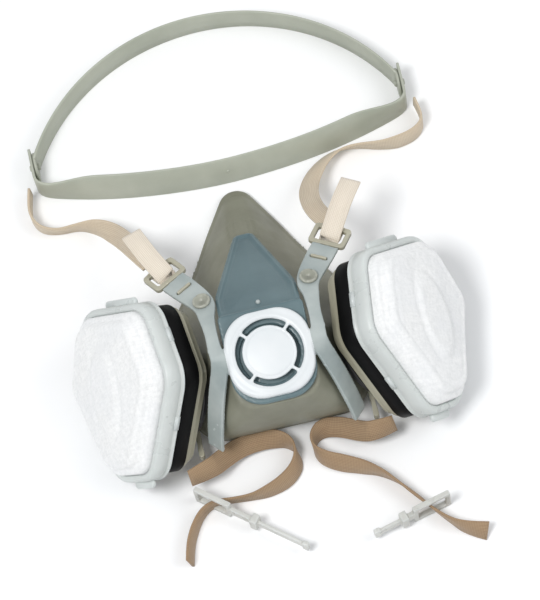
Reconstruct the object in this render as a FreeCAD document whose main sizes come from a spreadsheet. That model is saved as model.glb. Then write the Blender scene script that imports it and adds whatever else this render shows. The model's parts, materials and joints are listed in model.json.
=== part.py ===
import FreeCAD, Part
import math
import os

import Sketcher
from FreeCAD import Placement, Rotation, Vector

# Half-face respirator with two cartridges, a harness yoke, a head cradle and neck straps.
# It lies face-up on a flat surface at z = 0: +X is the mask's right as it lies, +Y runs from
# chin to nose, +Z points out of the mask's front. The origin is the middle of the footprint.
# "Front frame" below is the frame of the valve cover, tipped towards the chin, and each
# cartridge has a frame of its own whose z axis is the way the air comes in.

DIMENSIONS = [
    # name, millimetres or degrees
    ("valve_y", -86.03), ("valve_height", 62.0), ("front_tilt", 14.0),
    ("facepiece_wall", 3.2), ("cavity_drop", 4.5),
    ("panel_thickness", 2.6), ("panel_half_width", 19.2), ("panel_tip_half_width", 4.6),
    ("panel_length", 61.0), ("panel_slope", -28.7), ("seat_half_width", 20.0),
    ("cover_size", 40.0), ("cover_corner", 15.0), ("cover_depth", 4.2), ("cover_top", 1.8),
    ("cover_edge_radius", 1.4), ("housing_depth", 3.25), ("housing_reach", 22.0),
    ("slot_outer", 15.7), ("slot_inner", 12.5), ("slot_spoke", 1.5),
    ("valve_seat_radius", 13.8), ("valve_port_radius", 10.0), ("flap_radius", 11.4),
    ("flap_thickness", 0.6),
    ("arm_thickness", 2.0), ("stud_head_radius", 4.3), ("stud_radius", 2.4),
    ("cartridge_x", 70.5), ("cartridge_y", 6.0), ("cartridge_height", 40.5),
    ("cartridge_tilt", 17.0), ("cartridge_splay", 52.0), ("cartridge_corner", 17.0),
    ("cup_depth", 18.0), ("cup_base", 7.0), ("cup_inset", 3.0), ("base_inset", 6.0),
    ("cup_wall", 2.2), ("label_depth", 9.4), ("label_thickness", 0.6),
    ("gasket_radius", 26.0), ("gasket_hole", 18.0), ("gasket_thickness", 2.9),
    ("port_radius", 15.0), ("port_bore", 12.6), ("port_length", 11.0), ("inlet_flap_radius", 13.6),
    ("retainer_depth", 10.0), ("retainer_wall", 1.8), ("retainer_lip", 3.4),
    ("retainer_lip_depth", 1.6), ("pad_flange", 5.4), ("pad_rise", 9.0), ("pad_inset", 2.4),
    ("buckle_width", 18.0), ("buckle_length", 12.5), ("buckle_thickness", 2.2),
    ("buckle_window", 13.5),
    ("cradle_width", 15.0), ("cradle_thickness", 1.3), ("cradle_tip_x", 93.0),
    ("fold_y", 136.0), ("peg_y", 149.5), ("crown_reach", 208.0),
    ("back_sag", 15.5), ("back_lean", 24.5), ("peg_radius", 1.6), ("peg_length", 5.4),
    ("strap_tube_radius", 2.0), ("strap_width", 9.8), ("clip_thickness", 2.6),
]

doc = FreeCAD.newDocument("respirator")
sheet = doc.addObject("Spreadsheet::Sheet", "Sizes")
for row, (name, value) in enumerate(DIMENSIONS, start=1):
    sheet.set("A%d" % row, name)
    sheet.set("B%d" % row, str(value))
    sheet.setAlias("B%d" % row, name)
doc.recompute()
S = {name: float(sheet.get(name)) for name, _ in DIMENSIONS}

SIDES = (("left", -1), ("right", 1))
NODES = []


def node(obj, label, placement=None):
    """Give an object its own name and place, and put it on the list of sub-parts."""
    obj.Label = label
    if placement is not None:
        obj.Placement = placement
    NODES.append(obj)
    return obj


def front_frame():
    return Placement(Vector(0, S["valve_y"], S["valve_height"]), Rotation(Vector(1, 0, 0), S["front_tilt"]))


def cartridge_frame(side):
    tilt = Rotation(Vector(1, 0, 0), S["cartridge_tilt"])
    splay = Rotation(Vector(0, 1, 0), side * S["cartridge_splay"])
    centre = Vector(side * S["cartridge_x"], S["valve_y"] + S["cartridge_y"], S["cartridge_height"])
    return Placement(centre, tilt.multiply(splay))


def frame_from(origin, along, normal):
    """Placement whose y axis follows along and whose z axis is as near normal as it can be."""
    y_axis = Vector(along).normalize()
    x_axis = y_axis.cross(normal).normalize()
    z_axis = x_axis.cross(y_axis)
    return Placement(origin, Rotation(x_axis, y_axis, z_axis, "ZXY"))


# ---------------------------------------------------------------- outlines

def inset_polygon(corners, distance):
    """Move every edge of a counter-clockwise polygon inwards by distance."""
    moved = []
    count = len(corners)
    for i in range(count):
        before, here, after = corners[i - 1], corners[i], corners[(i + 1) % count]
        first = (here - before).normalize()
        second = (after - here).normalize()
        normal_a = Vector(-first.y, first.x, 0)
        normal_b = Vector(-second.y, second.x, 0)
        scale = distance / (1 + normal_a.dot(normal_b))
        moved.append(here + (normal_a + normal_b) * scale)
    return moved


def rounded_edges(corners, radii):
    """Lines and arcs of a closed polygon whose corners are rounded."""
    starts, ends, middles = [], [], []
    count = len(corners)
    for i in range(count):
        here = corners[i]
        to_before = (corners[i - 1] - here).normalize()
        to_after = (corners[(i + 1) % count] - here).normalize()
        half = to_before.getAngle(to_after) / 2
        reach = radii[i] / math.tan(half)
        bisector = (to_before + to_after).normalize()
        middles.append(here + bisector * (radii[i] / math.sin(half) - radii[i]))
        starts.append(here + to_before * reach)
        ends.append(here + to_after * reach)
    edges = []
    for i in range(count):
        edges.append(Part.Arc(starts[i], middles[i], ends[i]))
        edges.append(Part.LineSegment(ends[i], starts[(i + 1) % count]))
    return edges


def counter_clockwise(corners):
    area = sum(a.x * b.y - b.x * a.y for a, b in zip(corners, corners[1:] + corners[:1]))
    return corners if area > 0 else corners[::-1]


def origin_plane(body, role):
    return next(f for f in body.Origin.OriginFeatures if f.Role == role)


def new_body(name):
    return doc.addObject("PartDesign::Body", name)


def sketch_at(body, name, height):
    """An empty sketch parallel to the body's XY plane; height is a number or an expression."""
    sketch = body.newObject("Sketcher::SketchObject", name)
    sketch.AttachmentSupport = [(origin_plane(body, "XY_Plane"), "")]
    sketch.MapMode = "FlatFace"
    if isinstance(height, str):
        sketch.setExpression("AttachmentOffset.Base.z", height)
    else:
        sketch.AttachmentOffset = Placement(Vector(0, 0, height), Rotation())
    return sketch


def draw(sketch, edges):
    for edge in edges:
        sketch.addGeometry(edge, False)


def circle(sketch, radius, centre=(0, 0)):
    """A circle; radius is a number or an expression that drives its constraint."""
    start = 1.0 if isinstance(radius, str) else radius
    middle = Vector(centre[0], centre[1], 0)
    index = sketch.addGeometry(Part.Circle(middle, Vector(0, 0, 1), start), False)
    if isinstance(radius, str):
        constraint = sketch.addConstraint(Sketcher.Constraint("Radius", index, start))
        sketch.setExpression("Constraints[%d]" % constraint, radius)
        sketch.addConstraint(Sketcher.Constraint("DistanceX", index, 3, centre[0]))
        sketch.addConstraint(Sketcher.Constraint("DistanceY", index, 3, centre[1]))


def box_corners(x_low, x_high, y_low, y_high):
    return [Vector(x_low, y_low, 0), Vector(x_high, y_low, 0),
            Vector(x_high, y_high, 0), Vector(x_low, y_high, 0)]


def box_edges(x_low, x_high, y_low, y_high):
    points = box_corners(x_low, x_high, y_low, y_high)
    return [Part.LineSegment(points[i], points[(i + 1) % 4]) for i in range(4)]


def rectangle(x_low, x_high, y_low, y_high, radius):
    return rounded_edges(box_corners(x_low, x_high, y_low, y_high), [radius] * 4)


def pad(body, sketch, length, name):
    """Raise a sketch along +z; length is a number or an expression."""
    feature = body.newObject("PartDesign::Pad", name)
    feature.Profile = sketch
    if isinstance(length, str):
        feature.setExpression("Length", length)
    else:
        feature.Length = length
    sketch.Visibility = False
    return feature


def pocket(body, sketch, length, name):
    """Cut a sketch into the solid along -z; length is a number or an expression."""
    feature = body.newObject("PartDesign::Pocket", name)
    feature.Profile = sketch
    if isinstance(length, str):
        feature.setExpression("Length", length)
    else:
        feature.Length = length
    sketch.Visibility = False
    return feature


def loft(body, kind, sketches, name):
    feature = body.newObject("PartDesign::" + kind, name)
    feature.Profile = sketches[0]
    feature.Sections = [(s, [""]) for s in sketches[1:]]
    return feature


# ---------------------------------------------------------------- facepiece

# Height, nose corner y, cheek corner x and y, chin corner x and y, then the nose, cheek and
# chin corner radii. All y are measured from the valve.
FACE_SECTIONS = [
    (0.0, 123.5, 60.0, 22.0, 34.0, -11.0, 8.0, 22.0, 14.0),
    (14.0, 105.5, 55.0, 20.0, 34.0, -17.0, 8.0, 20.0, 14.0),
    (28.0, 84.0, 43.5, 16.0, 30.0, -20.0, 9.0, 18.0, 13.0),
    (44.0, 60.0, 29.0, 12.0, 21.5, -20.5, 11.0, 13.0, 11.0),
    (57.0, 42.0, 20.5, 9.0, 17.0, -18.5, 13.0, 9.0, 10.0),
]


def face_outline(section, inset):
    _, nose_y, cheek_x, cheek_y, chin_x, chin_y, nose_r, cheek_r, chin_r = section
    corners = [Vector(0, nose_y, 0), Vector(-cheek_x, cheek_y, 0), Vector(-chin_x, chin_y, 0),
               Vector(chin_x, chin_y, 0), Vector(cheek_x, cheek_y, 0)]
    radii = [nose_r, cheek_r, chin_r, chin_r, cheek_r]
    smaller = [max(r - inset, 2.0) for r in radii]
    return rounded_edges(inset_polygon(corners, inset), smaller)


def make_facepiece():
    body = new_body("FacepieceBody")
    outer = []
    for index, section in enumerate(FACE_SECTIONS):
        sketch = sketch_at(body, "FaceOutline%d" % index, section[0])
        draw(sketch, face_outline(section, 0.0))
        outer.append(sketch)
    loft(body, "AdditiveLoft", outer, "FaceShell")
    inner = []
    wall = S["facepiece_wall"]
    for index, section in enumerate(FACE_SECTIONS):
        sketch = sketch_at(body, "CavityOutline%d" % index, section[0] - S["cavity_drop"])
        draw(sketch, face_outline(section, wall))
        inner.append(sketch)
    loft(body, "SubtractiveLoft", inner, "FaceCavity")
    body.Placement = Placement(Vector(0, S["valve_y"], 0), Rotation())
    doc.recompute()

    tools = []
    # The valve housing and the nose panel sit on flats cut into the elastomer.
    flat = doc.addObject("Part::Box", "HousingFlat")
    flat.Length, flat.Width, flat.Height = 90, 70, 40
    flat.Placement = front_frame().multiply(Placement(Vector(-45, -45, -7.6), Rotation()))
    tools.append(flat)
    ramp = doc.addObject("Part::Box", "PanelRamp")
    ramp.Length, ramp.Width, ramp.Height = 60, 80, 40
    ramp.Placement = panel_frame().multiply(Placement(Vector(-30, -6, -0.1), Rotation()))
    tools.append(ramp)
    bore = doc.addObject("Part::Cylinder", "ValveBore")
    bore.setExpression("Radius", "Sizes.valve_seat_radius + 0.05")
    bore.Height = 30
    bore.Placement = front_frame().multiply(Placement(Vector(0, 0, -30), Rotation()))
    tools.append(bore)
    for name, side in SIDES:
        hole = doc.addObject("Part::Cylinder", "PortHole" + name.title())
        hole.setExpression("Radius", "Sizes.port_radius + 0.05")
        hole.Height = 40
        hole.Placement = cartridge_frame(side).multiply(Placement(Vector(0, 0, -70), Rotation()))
        tools.append(hole)
        face = doc.addObject("Part::Cylinder", "PortFace" + name.title())
        face.Radius = 24
        face.Height = 30
        face.Placement = cartridge_frame(side).multiply(Placement(Vector(0, 0, PORT_FACE), Rotation()))
        tools.append(face)
    cutter = doc.addObject("Part::MultiFuse", "FacepieceCutters")
    cutter.Shapes = tools
    result = doc.addObject("Part::Cut", "Facepiece")
    result.Base = body
    result.Tool = cutter
    node(result, "facepiece")


# ---------------------------------------------------------------- front panel and valve

def panel_frame():
    """Frame of the nose panel: its y axis runs down the nose, z is the panel's outer normal."""
    start = front_frame().multVec(Vector(0, 20.0, -7.6))
    return Placement(start, Rotation(Vector(1, 0, 0), S["panel_slope"]))


def make_front_panel():
    housing = new_body("ValveHousing")
    base = sketch_at(housing, "HousingOutline", -7.5)
    half = S["seat_half_width"]
    reach = S["housing_reach"]
    draw(base, rounded_edges(box_corners(-half, half, -reach, reach), [14.0, 14.0, 2.0, 2.0]))
    pad(housing, base, "Sizes.housing_depth", "HousingPad")
    hole = sketch_at(housing, "HousingHole", -4.25)
    circle(hole, "Sizes.valve_seat_radius + 0.05")
    pocket(housing, hole, 6.0, "HousingBore")
    housing.Placement = front_frame()

    plate = new_body("NosePlate")
    outline = sketch_at(plate, "NoseOutline", 0.0)
    wide, tip, length = S["panel_half_width"], S["panel_tip_half_width"], S["panel_length"]
    straight = 16.0
    corners = [Vector(-wide, -2.0, 0), Vector(wide, -2.0, 0), Vector(wide, straight, 0),
               Vector(tip, length, 0), Vector(-tip, length, 0), Vector(-wide, straight, 0)]
    draw(outline, rounded_edges(corners, [1.0, 1.0, 12.0, 3.0, 3.0, 12.0]))
    pad(plate, outline, "Sizes.panel_thickness", "NosePad")
    plate.Placement = panel_frame()
    doc.recompute()
    panel = doc.addObject("Part::Fuse", "FrontPanel")
    panel.Base = housing
    panel.Tool = plate
    node(panel, "front_panel")


def make_exhalation_valve():
    seat = new_body("ExhalationSeat")
    ring = sketch_at(seat, "SeatRing", -7.5)
    circle(ring, "Sizes.valve_seat_radius")
    circle(ring, "Sizes.valve_port_radius")
    pad(seat, ring, 1.9, "SeatPad")
    cross = sketch_at(seat, "SeatCross", -7.5)
    reach = S["valve_port_radius"] + 0.5
    draw(cross, box_edges(-reach, reach, -0.8, 0.8))
    pad(seat, cross, 1.5, "SeatCrossPad")
    cross_two = sketch_at(seat, "SeatCrossTwo", -7.5)
    draw(cross_two, box_edges(-0.8, 0.8, -reach, reach))
    pad(seat, cross_two, 1.5, "SeatCrossTwoPad")
    node(seat, "exhalation_valve_seat", front_frame())

    flap = new_body("ExhalationFlap")
    disc = sketch_at(flap, "FlapDisc", -5.55)
    circle(disc, "Sizes.flap_radius")
    pad(flap, disc, "Sizes.flap_thickness", "FlapPad")
    node(flap, "exhalation_valve_flap", front_frame())


# ---------------------------------------------------------------- harness yoke

# Stations of one side strip of the yoke, from the lower end to the upper: centre (y from the
# valve), width, and the strip's outward normal there.
YOKE_STATIONS = [
    ((34.2, -21.9, 18.2), 9.0, (0.62, -0.35, 0.70)),
    ((32.4, -17.7, 29.6), 9.5, (0.64, -0.28, 0.72)),
    ((28.6, -10.0, 45.3), 9.0, (0.50, -0.25, 0.83)),
    ((23.7, 0.0, 58.7), 8.0, (0.25, -0.24, 0.93)),
    ((24.2, 8.0, 61.4), 6.4, (0.15, -0.20, 0.96)),
    ((24.3, 16.0, 61.6), 6.0, (0.15, 0.05, 0.98)),
    ((24.6, 24.5, 59.8), 7.6, (0.10, 0.24, 0.97)),
    ((25.0, 33.5, 56.8), 11.0, (0.10, 0.31, 0.945)),
    ((32.0, 45.0, 52.3), 13.0, (0.10, 0.31, 0.945)),
    ((36.5, 51.5, 49.8), 13.0, (0.10, 0.31, 0.945)),
]
STATION_STEPS = 4
STUD_STATION = 7
SLIT_STATION = 8


def yoke_point(side, station):
    x, y, z = YOKE_STATIONS[station][0]
    return Vector(side * x, S["valve_y"] + y, z)


def yoke_normal(side, station):
    x, y, z = YOKE_STATIONS[station][2]
    return Vector(side * x, y, z).normalize()


def yoke_station_frame(side, station):
    last = len(YOKE_STATIONS) - 1
    ahead = yoke_point(side, min(station + 1, last))
    behind = yoke_point(side, max(station - 1, 0))
    return frame_from(yoke_point(side, station), ahead - behind, yoke_normal(side, station))


def curve_value(values, index, share):
    """Catmull-Rom value between values[index] and the next one."""
    last = len(values) - 1
    before, here = values[max(index - 1, 0)], values[index]
    ahead, after = values[min(index + 1, last)], values[min(index + 2, last)]
    rise = (ahead - before) * (share / 2)
    bend = (before * 2 - here * 5 + ahead * 4 - after) * (share ** 2 / 2)
    twist = (here * 3 - before - ahead * 3 + after) * (share ** 3 / 2)
    return here + rise + bend + twist


def yoke_strip(side):
    """A strip lofted through rectangles, at each station and at even steps between them."""
    half_thick = S["arm_thickness"] / 2
    last = len(YOKE_STATIONS) - 1
    centres = [yoke_point(side, i) for i in range(last + 1)]
    normals = [yoke_normal(side, i) for i in range(last + 1)]
    widths = [width for _, width, _ in YOKE_STATIONS]
    places = [(i, step / STATION_STEPS) for i in range(last) for step in range(STATION_STEPS)]
    places.append((last, 0.0))
    spots = [curve_value(centres, i, share) for i, share in places]
    wires = []
    for index, (station, share) in enumerate(places):
        ahead = spots[min(index + 1, len(spots) - 1)]
        behind = spots[max(index - 1, 0)]
        frame = frame_from(spots[index], ahead - behind, curve_value(normals, station, share))
        half = curve_value(widths, station, share) / 2
        corners = [(-half, -half_thick), (half, -half_thick), (half, half_thick), (-half, half_thick)]
        points = [frame.multVec(Vector(x, 0, z)) for x, z in corners]
        wires.append(Part.makePolygon(points + points[:1]))
    return Part.makeLoft(wires, True, True)


def make_yoke():
    cover = new_body("ValveCover")
    half = S["cover_size"] / 2
    outline = sketch_at(cover, "CoverOutline", -S["cover_depth"])
    draw(outline, rectangle(-half, half, -half, half, S["cover_corner"]))
    block = pad(cover, outline, "Sizes.cover_depth", "CoverPad")
    doc.recompute()
    edge_names = ["Edge%d" % (i + 1) for i, edge in enumerate(cover.Shape.Edges)
                  if all(abs(corner.Z) < 1e-6 for corner in edge.Vertexes)]
    fillet = cover.newObject("PartDesign::Fillet", "CoverSoftEdge")
    fillet.Base = (block, edge_names)
    fillet.Radius = S["cover_edge_radius"]
    doc.recompute()
    # Underside hollow for the flap, cut upwards from below.
    under = sketch_at(cover, "CoverHollow", -S["cover_depth"])
    circle(under, "Sizes.slot_outer + 0.9")
    hollow = pocket(cover, under, "Sizes.cover_depth - Sizes.cover_top", "CoverHollowCut")
    hollow.Reversed = True
    # Ring slot between the middle disc and the rim, crossed by four spokes on the diagonals.
    middle = (S["slot_outer"] + S["slot_inner"]) / 2
    spoke_angle = math.degrees(S["slot_spoke"] / 2 / middle)
    slot = sketch_at(cover, "CoverSlots", 0.0)
    for quarter in range(4):
        start = math.radians(45 + 90 * quarter + spoke_angle)
        stop = math.radians(135 + 90 * quarter - spoke_angle)
        ends = {}
        for radius in (S["slot_outer"], S["slot_inner"]):
            points = [Vector(radius * math.cos(a), radius * math.sin(a), 0)
                      for a in (start, (start + stop) / 2, stop)]
            draw(slot, [Part.Arc(*points)])
            ends[radius] = (points[0], points[2])
        for index in (0, 1):
            draw(slot, [Part.LineSegment(ends[S["slot_outer"]][index], ends[S["slot_inner"]][index])])
    pocket(cover, slot, 3.0, "CoverSlotCut")
    cover.Placement = front_frame()
    doc.recompute()

    shape = cover.Shape.copy()
    for _, side in SIDES:
        shape = shape.fuse(yoke_strip(side))
    for _, side in SIDES:
        # Stud hole, buckle slit and the keeper slot at the lower end.
        for station, length, width in ((STUD_STATION, 5.0, 5.0), (SLIT_STATION, 8.6, 1.8), (0, 9.0, 1.8)):
            frame = yoke_station_frame(side, station)
            if length == width:
                tool = Part.makeCylinder(length / 2, 8, Vector(0, 0, -4))
            else:
                tool = Part.makeBox(length, width, 8, Vector(-length / 2, -width / 2, -4))
            tool.Placement = frame
            shape = shape.cut(tool)
    yoke = doc.addObject("Part::Feature", "HarnessYoke")
    yoke.Shape = shape.removeSplitter()
    node(yoke, "harness_yoke")


def make_studs():
    for name, side in SIDES:
        stud = new_body("SnapStud" + name.title())
        head = sketch_at(stud, "StudHead" + name, 1.05)
        circle(head, "Sizes.stud_head_radius")
        pad(stud, head, 1.6, "StudHeadPad" + name)
        shank = sketch_at(stud, "StudShank" + name, -2.6)
        circle(shank, "Sizes.stud_radius")
        pad(stud, shank, 3.7, "StudShankPad" + name)
        foot = sketch_at(stud, "StudFoot" + name, -2.8)
        circle(foot, "Sizes.stud_radius + 1.0")
        pad(stud, foot, 1.7, "StudFootPad" + name)
        node(stud, "snap_stud_" + name, yoke_station_frame(side, STUD_STATION))


def make_buckles():
    for name, side in SIDES:
        buckle = new_body("Buckle" + name.title())
        half = S["buckle_width"] / 2
        near = 8.6
        far = near + S["buckle_length"]
        outline = sketch_at(buckle, "BuckleOutline" + name, -1.2)
        draw(outline, rectangle(-half, half, near, far, 2.0))
        pad(buckle, outline, "Sizes.buckle_thickness", "BucklePad" + name)
        window = sketch_at(buckle, "BuckleWindow" + name, 3.0)
        open_half = S["buckle_window"] / 2
        draw(window, rectangle(-open_half, open_half, near + 2.4, far - 2.4, 0.8))
        pocket(buckle, window, 8.0, "BuckleWindowCut" + name)
        tongue = sketch_at(buckle, "BuckleTongue" + name, -3.1)
        draw(tongue, rectangle(-5.5, 5.5, -2.6, near + 1.2, 1.0))
        pad(buckle, tongue, 1.6, "BuckleTonguePad" + name)
        riser = sketch_at(buckle, "BuckleRiser" + name, -3.1)
        draw(riser, box_edges(-5.0, 5.0, near - 0.3, near + 1.0))
        pad(buckle, riser, 2.1, "BuckleRiserPad" + name)
        hook = sketch_at(buckle, "BuckleHook" + name, -3.0)
        draw(hook, box_edges(-3.9, 3.9, -0.6, 0.6))
        pad(buckle, hook, 4.6, "BuckleHookPad" + name)
        node(buckle, "upper_buckle_" + name, yoke_station_frame(side, SLIT_STATION))


# ---------------------------------------------------------------- cartridges

# Heights in a cartridge's own frame, whose z = 0 is the front of its prefilter retainer.
CUP_BOTTOM = -27.0
CUP_STEP = -23.0
CUP_SHELF = -20.0
CUP_RIM = -9.0
GASKET_BOTTOM = -29.95
FLANGE_BOTTOM = -32.05
PORT_BOTTOM = -41.0
PORT_FACE = -32.1

# Corners of the cartridge outline: a shield, its broad flat end towards the nose. x is
# outwards. The shield is turned a little in its own plane, so its flat end leans to the mask.
CARTRIDGE_CORNERS = [(-25.0, 40.5), (25.0, 40.5), (38.5, 4.0), (14.0, -41.5), (-14.0, -41.5), (-38.5, 4.0)]
CORNER_ROUNDNESS = [0.8, 0.8, 1.0, 0.8, 0.8, 1.0]
CARTRIDGE_TURN = math.radians(9.0)


def shield_corners(side):
    corners = []
    for x, y in CARTRIDGE_CORNERS:
        turned_x = x * math.cos(CARTRIDGE_TURN) - y * math.sin(CARTRIDGE_TURN)
        turned_y = x * math.sin(CARTRIDGE_TURN) + y * math.cos(CARTRIDGE_TURN)
        corners.append(Vector(side * turned_x, turned_y, 0))
    return counter_clockwise(corners)


def depth_inside(side, x, y):
    """How far a point lies inside the shield's straight edges."""
    corners = shield_corners(side)
    depths = []
    for one, two in zip(corners, corners[1:] + corners[:1]):
        along = (two - one).normalize()
        depths.append(along.x * (y - one.y) - along.y * (x - one.x))
    return min(depths)


def cartridge_outline(side, inset):
    corners = shield_corners(side)
    radii = [max(S["cartridge_corner"] * share - inset, 3.0) for share in CORNER_ROUNDNESS]
    if side > 0:
        radii = radii[::-1]
    return rounded_edges(inset_polygon(corners, inset), radii)


def turned(side, edges):
    """Edges of a sketch turned in its plane as the shield is."""
    turn = Rotation(Vector(0, 0, 1), side * math.degrees(CARTRIDGE_TURN)).toMatrix()
    for edge in edges:
        edge.transform(turn)
    return edges


def make_ports(name, side):
    frame = cartridge_frame(side)
    tag = name.title()
    port = new_body("Port" + tag)
    flange = sketch_at(port, "PortFlange" + tag, FLANGE_BOTTOM)
    circle(flange, 21.0)
    circle(flange, "Sizes.port_bore")
    pad(port, flange, 2.0, "PortFlangePad" + tag)
    tube = sketch_at(port, "PortTube" + tag, PORT_BOTTOM)
    circle(tube, "Sizes.port_radius")
    circle(tube, "Sizes.port_bore")
    pad(port, tube, "Sizes.port_length", "PortTubePad" + tag)
    spider = sketch_at(port, "PortSpider" + tag, PORT_BOTTOM)
    reach = S["port_bore"] + 0.4
    draw(spider, box_edges(-reach, reach, -0.7, 0.7))
    pad(port, spider, 1.4, "PortSpiderPad" + tag)
    hub = sketch_at(port, "PortHub" + tag, PORT_BOTTOM - 2.3)
    circle(hub, 1.5)
    pad(port, hub, 3.0, "PortHubPad" + tag)
    head = sketch_at(port, "PortHead" + tag, PORT_BOTTOM - 3.3)
    circle(head, 2.6)
    pad(port, head, 1.2, "PortHeadPad" + tag)
    node(port, "inhalation_port_" + name, frame)

    flap = new_body("InletFlap" + tag)
    disc = sketch_at(flap, "InletDisc" + tag, PORT_BOTTOM - 0.65)
    circle(disc, "Sizes.inlet_flap_radius")
    circle(disc, 1.7)
    pad(flap, disc, 0.6, "InletPad" + tag)
    node(flap, "inhalation_valve_" + name, frame)

    gasket = new_body("Gasket" + tag)
    ring = sketch_at(gasket, "GasketRing" + tag, GASKET_BOTTOM)
    circle(ring, "Sizes.gasket_radius")
    circle(ring, "Sizes.gasket_hole")
    pad(gasket, ring, "Sizes.gasket_thickness", "GasketPad" + tag)
    node(gasket, "cartridge_gasket_" + name, frame)


def make_cartridge(name, side):
    frame = cartridge_frame(side)
    tag = name.title()
    cup = new_body("Cup" + tag)
    base = sketch_at(cup, "CupBase" + tag, CUP_BOTTOM)
    draw(base, cartridge_outline(side, S["base_inset"]))
    pad(cup, base, "Sizes.cup_base + 0.01", "CupBasePad" + tag)
    step = sketch_at(cup, "CupStep" + tag, CUP_STEP)
    draw(step, cartridge_outline(side, S["base_inset"] - 2.2))
    pad(cup, step, 3.1, "CupStepPad" + tag)
    wall = sketch_at(cup, "CupWall" + tag, CUP_SHELF)
    draw(wall, cartridge_outline(side, S["cup_inset"]))
    pad(cup, wall, "Sizes.cup_depth - 7", "CupWallPad" + tag)
    hollow = sketch_at(cup, "CupHollow" + tag, CUP_RIM)
    draw(hollow, cartridge_outline(side, S["cup_inset"] + S["cup_wall"]))
    pocket(cup, hollow, 9.5, "CupHollowCut" + tag)
    lower = sketch_at(cup, "CupLower" + tag, -18.0)
    draw(lower, cartridge_outline(side, S["base_inset"] + 1.6))
    pocket(cup, lower, 7.0, "CupLowerCut" + tag)
    inlet = sketch_at(cup, "CupInlet" + tag, CUP_SHELF)
    circle(inlet, "Sizes.gasket_hole - 2")
    pocket(cup, inlet, 9.0, "CupInletCut" + tag)
    node(cup, "cartridge_cup_" + name, frame)

    bed = new_body("Bed" + tag)
    block = sketch_at(bed, "BedOutline" + tag, -18.4)
    draw(block, cartridge_outline(side, S["cup_inset"] + S["cup_wall"] + 0.2))
    pad(bed, block, 9.0, "BedPad" + tag)
    lower_bed = sketch_at(bed, "BedLower" + tag, -24.8)
    draw(lower_bed, cartridge_outline(side, S["base_inset"] + 1.9))
    pad(bed, lower_bed, 6.5, "BedLowerPad" + tag)
    node(bed, "sorbent_bed_" + name, frame)

    grid = new_body("Grid" + tag)
    plate = sketch_at(grid, "GridPlate" + tag, -8.95)
    draw(plate, cartridge_outline(side, S["cup_inset"]))
    pad(grid, plate, 1.5, "GridPad" + tag)
    holes = sketch_at(grid, "GridHoles" + tag, -7.45)
    pitch = 10.0
    for column in range(-2, 3):
        for row in range(-3, 4):
            if depth_inside(side, column * pitch, row * pitch) > S["cup_inset"] + 5.0:
                circle(holes, 3.4, (column * pitch, row * pitch))
    pocket(grid, holes, 3.0, "GridHolesCut" + tag)
    node(grid, "cartridge_grid_" + name, frame)

    label = new_body("Label" + tag)
    band = sketch_at(label, "LabelBand" + tag, -19.8)
    draw(band, cartridge_outline(side, S["cup_inset"] - S["label_thickness"] - 0.03))
    draw(band, cartridge_outline(side, S["cup_inset"] - 0.03))
    pad(label, band, "Sizes.label_depth", "LabelPad" + tag)
    node(label, "label_band_" + name, frame)


def make_prefilter(name, side):
    frame = cartridge_frame(side)
    tag = name.title()
    retainer = new_body("Retainer" + tag)
    depth = S["retainer_depth"]
    skirt = sketch_at(retainer, "RetainerSkirt" + tag, -depth)
    draw(skirt, cartridge_outline(side, 0.0))
    draw(skirt, cartridge_outline(side, S["retainer_wall"]))
    pad(retainer, skirt, "Sizes.retainer_depth", "RetainerSkirtPad" + tag)
    lip = sketch_at(retainer, "RetainerLip" + tag, -S["retainer_lip_depth"])
    draw(lip, cartridge_outline(side, 0.0))
    draw(lip, cartridge_outline(side, S["retainer_lip"]))
    pad(retainer, lip, "Sizes.retainer_lip_depth", "RetainerLipPad" + tag)
    # A finger tab at each end, and two small snap blocks on the tabs.
    for end, low, high, half in (("Top", 39.0, 43.5, 12.0), ("Bottom", -45.0, -40.5, 7.0)):
        tab = sketch_at(retainer, "Tab" + end + tag, -7.0)
        draw(tab, turned(side, rectangle(-half, half, low, high, 2.0)))
        pad(retainer, tab, 2.0, "TabPad" + end + tag)
        ridge = sketch_at(retainer, "TabRidge" + end + tag, -5.2)
        middle = (low + high) / 2 + (1.0 if end == "Top" else -1.0)
        draw(ridge, turned(side, rectangle(-4.0, 4.0, middle - 1.0, middle + 1.0, 0.4)))
        pad(retainer, ridge, 1.4, "TabRidgePad" + end + tag)
    node(retainer, "filter_retainer_" + name, frame)

    pad_body = new_body("Prefilter" + tag)
    flange = sketch_at(pad_body, "PadFlange" + tag, -7.3)
    draw(flange, cartridge_outline(side, S["pad_inset"]))
    pad(pad_body, flange, "Sizes.pad_flange", "PadFlangePad" + tag)
    levels = [(-1.95, 3.7), (2.5, 4.0), (6.0, 6.5), (S["pad_rise"], 12.5)]
    sections = []
    for index, (height, inset) in enumerate(levels):
        sketch = sketch_at(pad_body, "PadDome%d%s" % (index, tag), height)
        draw(sketch, cartridge_outline(side, inset))
        sections.append(sketch)
    loft(pad_body, "AdditiveLoft", sections, "PadDome" + tag)
    node(pad_body, "prefilter_pad_" + name, frame)


# ---------------------------------------------------------------- head cradle

def arc_band(half_angle, radius, thickness, centre_y, up):
    """Outline in the XY plane of a thin strip bent on a circle; up is +1 or -1."""
    edges = []
    points = {}
    for r in (radius, radius - thickness):
        points[r] = [Vector(r * math.sin(a), centre_y + up * r * math.cos(a), 0)
                     for a in (-half_angle, 0.0, half_angle)]
        edges.append(Part.Arc(*points[r]))
    for index in (0, 2):
        edges.append(Part.LineSegment(points[radius][index], points[radius - thickness][index]))
    return edges


def cradle_origin():
    return Placement(Vector(0, S["valve_y"], 0), Rotation())


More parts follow.
